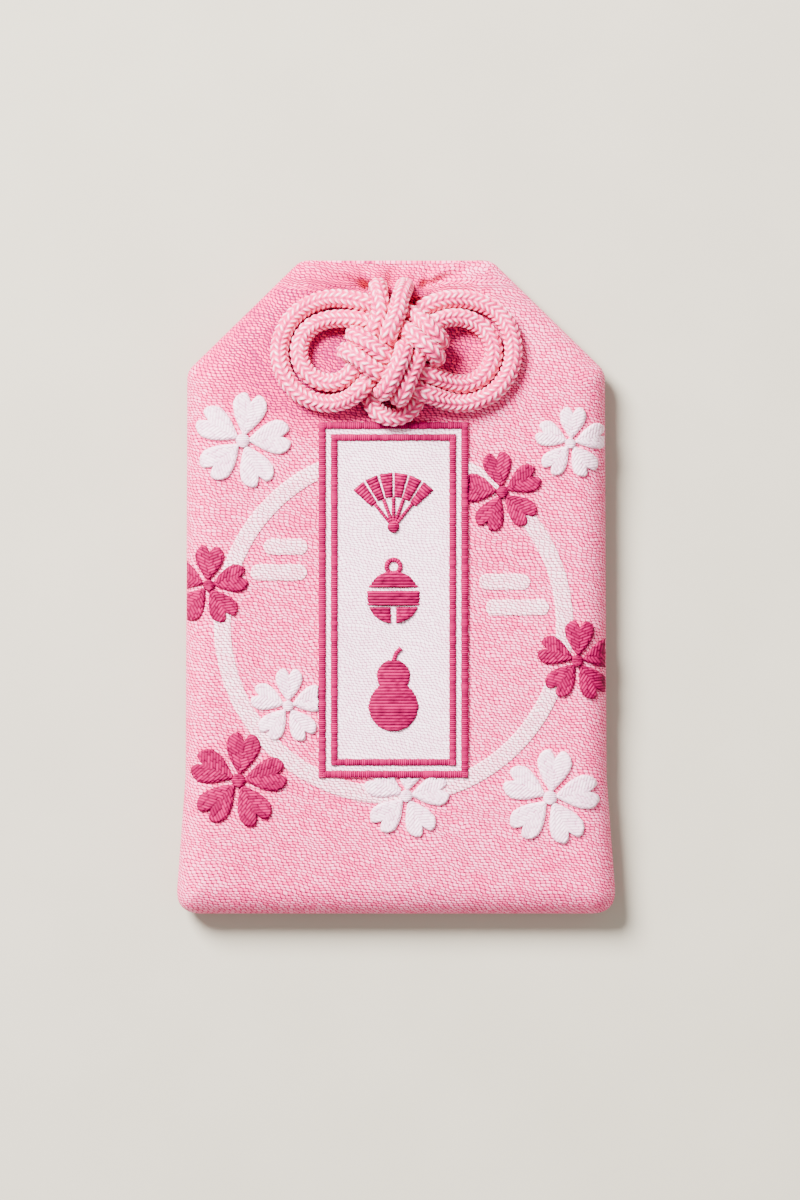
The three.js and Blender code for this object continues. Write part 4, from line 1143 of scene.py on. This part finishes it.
def fan(form, centre, stitch):
    """An open fan: six pleats, five sticks and a rivet."""
    x, y = centre[0], centre[1] - FAN_DROP
    inner, outer = 0.0035, 0.0064
    start, end = FAN_ENDS
    turn = (end - start) / PLEATS
    reach = np.linspace(inner, outer, round((outer - inner) / stitch.thread) + 1)
    for pleat in range(PLEATS):
        sides = [start + turn * pleat + PLEAT_GAP, start + turn * (pleat + 1) - PLEAT_GAP]
        ends = [np.stack([x + reach * math.cos(a), y + reach * math.sin(a)], axis=-1) for a in sides]
        rows = np.stack(ends, axis=1)
        rise, seed = stitch.rise * LOW_RISE_SHARE, PLEAT_SEED + pleat
        stitched_rows(form, rows, rise, MOTIF_RELIEF, seed, PLAQUE_RISE)
    for stick in range(STICKS):
        a = start + (end - start) * (stick + 0.5) / STICKS
        ends = [(x + r * math.cos(a), y + r * math.sin(a)) for r in (STICK_START, inner)]
        stitched_line(form, ends, *STICK, LINE_PITCH, STICK_SEED + stick, lift=PLAQUE_RISE)
    rivet = disc_rows((x, y), RIVET_RADIUS, LINE_PITCH)
    stitched_rows(form, rivet, RIVET_RISE, MOTIF_RELIEF, RIVET_SEED, PLAQUE_RISE)


def bell(form, centre, stitch):
    """A round bell: two bands of level stitches, a lower band with a slit, and a hanger."""
    x, y = centre
    radius, slit = 0.0031, 0.0003
    for start, end in ((-0.32, 0.25), (0.36, 0.98)):
        rows = disc_rows((x, y), radius, stitch.thread, start, end)
        stitched_rows(form, rows, stitch.rise, MOTIF_RELIEF, BAND_SEED + round(10 * end), PLAQUE_RISE)
    for side in (-1, 1):
        rows = disc_rows((x, y), radius, stitch.thread, -0.98, -0.36)
        inner = rows[:, 0].copy()
        inner[:, 0] = x + side * slit
        outer = rows[:, 1 if side > 0 else 0]
        outer[:, 0] = x + side * np.maximum(np.abs(outer[:, 0] - x), slit + 0.0002)
        rows = np.stack([inner, outer], axis=1)
        stitched_rows(form, rows, stitch.rise, MOTIF_RELIEF, FOOT_SEED + side, PLAQUE_RISE)
    angles = np.linspace(0.0, 2 * math.pi, 48, endpoint=False)
    middle = y + radius + HANGER_RISE
    hanger = [(x + HANGER_RADIUS * math.cos(a), middle + HANGER_RADIUS * math.sin(a)) for a in angles]
    stitched_line(form, hanger, *HANGER, LINE_PITCH, HANGER_SEED, closed=True, lift=PLAQUE_RISE)


def gourd(form, centre, stitch):
    """A bottle gourd: two bulbs that meet in a waist, and a bent stalk."""
    x, y = centre
    foot, head, half_gap, waist = 0.0029, 0.00195, 0.0018, 0.0008
    height = np.arange(-half_gap - foot * 0.985, half_gap + head * 0.98, stitch.thread)
    bulbs = [
        np.sqrt(np.clip(radius ** 2 - (height - middle) ** 2, 0, None))
        for radius, middle in ((foot, -half_gap), (head, half_gap))
    ]
    half = np.maximum(*bulbs)
    half = np.where(np.abs(height) < half_gap, np.maximum(half, waist), half)
    ends = [np.stack([x + side * half, y + height], axis=-1) for side in (-1, 1)]
    stitched_rows(form, np.stack(ends, axis=1), stitch.rise, MOTIF_RELIEF, GOURD_SEED, PLAQUE_RISE)
    top = y + half_gap + head
    stalk = [(x, top - 0.0002), (x + 0.0003, top + 0.0007), (x + 0.0009, top + 0.0013)]
    stitched_line(form, stalk, *STALK, LINE_PITCH, STALK_SEED, lift=PLAQUE_RISE)


class CHARM_OT_plaque(bpy.types.Operator):
    """Stitches the pale plaque with its double frame and a fan, a bell and a gourd"""

    bl_idname = "charm.plaque"
    bl_label = "Plaque"

    def execute(self, context):
        stitch = context.scene.charm_stitch
        x, y = PLAQUE_CENTRE
        ground = Form()
        rows = y + np.linspace(-1, 1, PLAQUE_ROWS) * PLAQUE_LENGTH / 2
        edges = (np.full(rows.shape, x + side * PLAQUE_WIDTH / 2) for side in (-1, 1))
        sides = [np.stack([edge, rows], axis=-1) for edge in edges]
        woven_patch(ground, *sides, PLAQUE_RISE, sides=PLAQUE_SIDES)
        # The deepest colour is painted shade between the floats, and the lightest a painted highlight on
        # them.
        pale = brocade("pale field", ("C97A9E", "ECBBCF", "F9DCE8"), 0.5, 0.33, 0.00006)
        piece = ground.finish("plaque_field", pale)
        ride(piece, "pouch", "plaque_ground")
        magenta = magenta_satin(stitch)
        lines = (("outer", 0.0, OUTER_BORDER), ("inner", OUTER_BORDER + BORDER_GAP, INNER_BORDER))
        for (label, inset, line), seed in zip(lines, BORDER_SEEDS):
            form = Form()
            frame_line(form, inset, line, seed, stitch)
            piece = form.finish(f"plaque_{label}_line", magenta)
            ride(piece, "pouch", f"plaque_{label}_border")
        for draw, share in zip((fan, bell, gourd), MOTIF_SHARES):
            form = Form()
            draw(form, (x, y + share * PLAQUE_LENGTH), stitch)
            piece = form.finish(f"stitched_{draw.__name__}", magenta)
            ride(piece, "pouch", f"plaque_{draw.__name__}")
        return {"FINISHED"}


# Place and radius of each blossom as shares of the ring's radius, and its turn in degrees.
BLOSSOM_SHARES = (
    ("white_blossom_upper_left", -0.88, 1.075, 0.28, 12),
    ("white_blossom_upper_right", 1.035, 1.06, 0.21, 4),
    ("white_blossom_lower_left", -0.615, -0.475, 0.22, 2),
    ("white_blossom_foot", 0.075, -1.0, 0.25, 8),
    ("white_blossom_lower_right", 0.915, -1.01, 0.28, 7.5),
    ("magenta_blossom_left_edge", -1.08, 0.23, 0.23, 3.5),
    ("magenta_blossom_upper_right", 0.635, 0.775, 0.235, -10),
    ("magenta_blossom_right_edge", 1.075, -0.21, 0.235, 3),
    ("magenta_blossom_lower_left", -0.905, -0.91, 0.28, 8),
)


def from_ring(x, y):
    """A place on the front, from shares of the ring's radius."""
    return (RING_CENTRE[0] + x * RING_RADIUS, RING_CENTRE[1] + y * RING_RADIUS)


def hold_on_front(flat):
    """Keeps stitched places on the face, at or inside the turn of its edge."""
    limit = half_width(flat[..., 1]) - EDGE_HOLD
    flat[..., 0] = np.clip(flat[..., 0], -limit, limit)
    return flat


class CHARM_OT_blossoms(bpy.types.Operator):
    """Stitches the nine blossoms, each with five notched petals and a round middle"""

    bl_idname = "charm.blossoms"
    bl_label = "Blossoms"

    def execute(self, context):
        stitch = context.scene.charm_stitch
        # The deepest colour is painted shade between the stitches; the pale setting is the thread's own
        # white with a painted highlight on the crests.
        white = satin("white thread", ("B5668C", "E0B4C8", stitch.white), 0.42, 0.25)
        threads = {"white": white, "magenta": magenta_satin(stitch)}
        for number, (name, x, y, share, tilt) in enumerate(BLOSSOM_SHARES):
            centre = np.array(from_ring(x, y))
            radius = share * RING_RADIUS
            form = Form()
            for leaf in range(PETALS):
                axis = math.pi / 2 - math.radians(tilt) - leaf * 2 * math.pi / PETALS
                petal(form, centre, radius, axis, stitch, PETALS * number + leaf)
            middle = disc_rows(centre, MIDDLE_SHARE * radius, stitch.thread * MIDDLE_THREAD_SHARE)
            stitched_rows(form, middle, stitch.rise * MIDDLE_RISE_SHARE, MIDDLE_RELIEF, number)
            tone = name.split("_")[0]
            piece = form.finish(f"stitched_{name}", threads[tone])
            self.trim_at_plaque(piece, name)
            ride(piece, "pouch", name)
        return {"FINISHED"}

    @staticmethod
    def trim_at_plaque(piece, name):
        """Cuts a blossom off at the plaque. The fill leaves some edges of the cut open."""
        x, y = PLAQUE_CENTRE
        right = x + PLAQUE_WIDTH / 2 + PLAQUE_GAP
        left = x - PLAQUE_WIDTH / 2 - PLAQUE_GAP
        foot = y - PLAQUE_LENGTH / 2 - PLAQUE_GAP
        cuts = {
            "white_blossom_lower_left": ((left, 0, 0), (1, 0, 0)),
            "white_blossom_foot": ((0, foot, 0), (0, 1, 0)),
            "magenta_blossom_upper_right": ((right, 0, 0), (-1, 0, 0)),
        }
        if name in cuts:
            place, beyond = cuts[name]
            options = {"use_fill": True, "clear_outer": True}
            edit(piece, bpy.ops.mesh.bisect, plane_co=place, plane_no=beyond, **options)


# Place and length of each mist band, as shares of the ring's radius.
MIST_SHARES = (
    ("mist_band_left_upper", -0.63, 0.455, 0.26),
    ("mist_band_left_lower", -0.67, 0.305, 0.33),
    ("mist_band_right_upper", 0.65, 0.25, 0.3),
    ("mist_band_right_lower", 0.725, 0.1, 0.37),
)


class CHARM_OT_ring(bpy.types.Operator):
    """Weaves the white ring in its visible arcs, and the four mist bands across it"""

    bl_idname = "charm.ring"
    bl_label = "Ring and mist"

    def execute(self, context):
        # The deepest colour is painted shade between the floats, and the lightest a painted highlight on
        # them.
        white = brocade("white brocade", ("E9668F", "F7A3BC", "FFD3E0"), 0.62, 0.34)
        for number in range(1, 6):
            node = f"ring_arc_{number}"
            start, end = self.reach(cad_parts[node])
            form = Form()
            angles = np.linspace(start, end, max(round((end - start) * RING_RADIUS / RING_STEP), 4))
            rim = np.stack([np.cos(angles), np.sin(angles)])
            shares = [1 + side * RING_WIDTH / 2 / RING_RADIUS for side in (-1, 1)]
            edges = [np.stack(from_ring(*(share * rim)), axis=-1) for share in shares]
            woven_patch(form, *edges, WOVEN_RISE)
            ride(form.finish(f"woven_{node}", white), "pouch", node)
        for name, x, y, length in MIST_SHARES:
            form = Form()
            middle = from_ring(x, y)
            half, radius = length * RING_RADIUS / 2, MIST_WIDTH / 2
            along = graded(MIST_STEPS) * half
            past = np.clip(np.abs(along) - (half - radius), 0, radius)
            reach = np.sqrt(np.clip(radius ** 2 - past ** 2, (radius * 0.05) ** 2, None))
            edges = [np.stack([middle[0] + along, middle[1] + side * reach], axis=-1) for side in (-1, 1)]
            woven_patch(form, *edges, WOVEN_RISE)
            ride(form.finish(f"woven_{name}", white), "pouch", name)
        return {"FINISHED"}

    @staticmethod
    def reach(node):
        """The angles between which an arc's solid lies, with a little more to tuck under its neighbours."""
        places = np.array([vertex.co[:2] for vertex in node.data.vertices]) - RING_CENTRE
        middle = places.mean(axis=0)
        facing = math.atan2(middle[1], middle[0])
        turned = np.arctan2(places[:, 1], places[:, 0]) - facing
        turned = (turned + math.pi) % (2 * math.pi) - math.pi
        tuck = RING_TUCK / RING_RADIUS
        return facing + turned.min() - tuck, facing + turned.max() + tuck


# Camera, table and light.
FRAME_WIDTH_PX = 800
FRAME_HEIGHT_PX = 1200
PIXEL = 0.00011692
POUCH_MIDDLE_PX = (396, 587)
LENS = 0.23
SENSOR = 0.036
CLIP = (0.01, 10)
TABLE_SIZE = 4
TABLE_DROP = 0.00002
ROOM_COLOUR = (1.0, 0.97, 0.94, 1.0)
ROOM_STRENGTH = 0.65

# Name, place, diameter and power of each light.
LIGHTS = (
    ("window", (-0.35, 0.42, 0.55), 0.34, 47.0),
    ("fill", (0.5, -0.3, 0.6), 0.9, 3.0),
)


class CHARM_OT_stage(bpy.types.Operator):
    """Sets the pale table, the soft light from the upper left and the camera straight above"""

    bl_idname = "charm.stage"
    bl_label = "Stage"

    def execute(self, context):
        bpy.ops.object.select_all(action="DESELECT")
        bpy.ops.mesh.primitive_plane_add(size=TABLE_SIZE, location=(0, 0, -TABLE_DROP))
        table = context.object
        table.name = "table"
        table.data.materials.append(plain("table", ("A9A191", "A59D8D"), 60.0, 0.8, 0.00002))
        for light in LIGHTS:
            self.light(*light)
        world = bpy.data.worlds.new("room")
        world.use_nodes = True
        background = world.node_tree.nodes["Background"]
        background.inputs["Color"].default_value = ROOM_COLOUR
        background.inputs["Strength"].default_value = ROOM_STRENGTH
        context.scene.world = world
        self.camera(context)
        return {"FINISHED"}

    @staticmethod
    def light(name, place, size, power):
        """A round lamp that faces the middle of the pouch."""
        bpy.ops.object.light_add(type="AREA", location=place)
        lamp = bpy.context.object
        lamp.name = name
        lamp.data.shape = "DISK"
        lamp.data.size = size
        lamp.data.energy = power
        lamp.rotation_euler = (-Vector(place)).to_track_quat("-Z", "Y").to_euler()

    @staticmethod
    def camera(context):
        """Looks straight down and shows the whole frame at the height of the front."""
        x = (FRAME_WIDTH_PX / 2 - POUCH_MIDDLE_PX[0]) * PIXEL
        y = (POUCH_MIDDLE_PX[1] - FRAME_HEIGHT_PX / 2) * PIXEL
        distance = FRAME_HEIGHT_PX * PIXEL * LENS / SENSOR
        level = SEAM_HEIGHT + FRONT_RISE
        bpy.ops.object.camera_add(location=(x, y, level + distance), rotation=(0, 0, 0))
        camera = context.object
        camera.data.lens = LENS / MM
        camera.data.sensor_fit = "VERTICAL"
        camera.data.sensor_height = SENSOR / MM
        camera.data.clip_start, camera.data.clip_end = CLIP
        context.scene.camera = camera


class CHARM_PT_panel(bpy.types.Panel):
    """Lists the pieces of the charm in the order in which they are made"""

    bl_label = "Charm pouch"
    bl_idname = "CHARM_PT_panel"
    bl_space_type = "VIEW_3D"
    bl_region_type = "UI"
    bl_category = "Charm"

    def draw(self, context):
        for step in STEPS:
            self.layout.operator(step.bl_idname)
        for group in ("charm_cloth", "charm_cord", "charm_stitch"):
            settings = getattr(context.scene, group)
            for name in settings.__annotations__:
                self.layout.prop(settings, name)


SETTINGS = {"charm_cloth": ClothSettings, "charm_cord": CordSettings, "charm_stitch": StitchSettings}
STEPS = (
    CHARM_OT_cloth,
    CHARM_OT_inside,
    CHARM_OT_span,
    CHARM_OT_knot,
    CHARM_OT_plaque,
    CHARM_OT_blossoms,
    CHARM_OT_ring,
    CHARM_OT_stage,
)


def register():
    for kind in (*SETTINGS.values(), *STEPS, CHARM_PT_panel):
        bpy.utils.register_class(kind)
    for name, kind in SETTINGS.items():
        setattr(bpy.types.Scene, name, bpy.props.PointerProperty(type=kind))


def unregister():
    for name in SETTINGS:
        delattr(bpy.types.Scene, name)
    for kind in (CHARM_PT_panel, *reversed(STEPS), *SETTINGS.values()):
        bpy.utils.unregister_class(kind)


def main():
    register()
    bpy.ops.charm.cloth()
    bpy.ops.charm.inside()
    bpy.ops.charm.span()
    bpy.ops.charm.knot()
    bpy.ops.charm.plaque()
    bpy.ops.charm.blossoms()
    bpy.ops.charm.ring()
    bpy.ops.charm.stage()


if __name__ == "__main__":
    main()
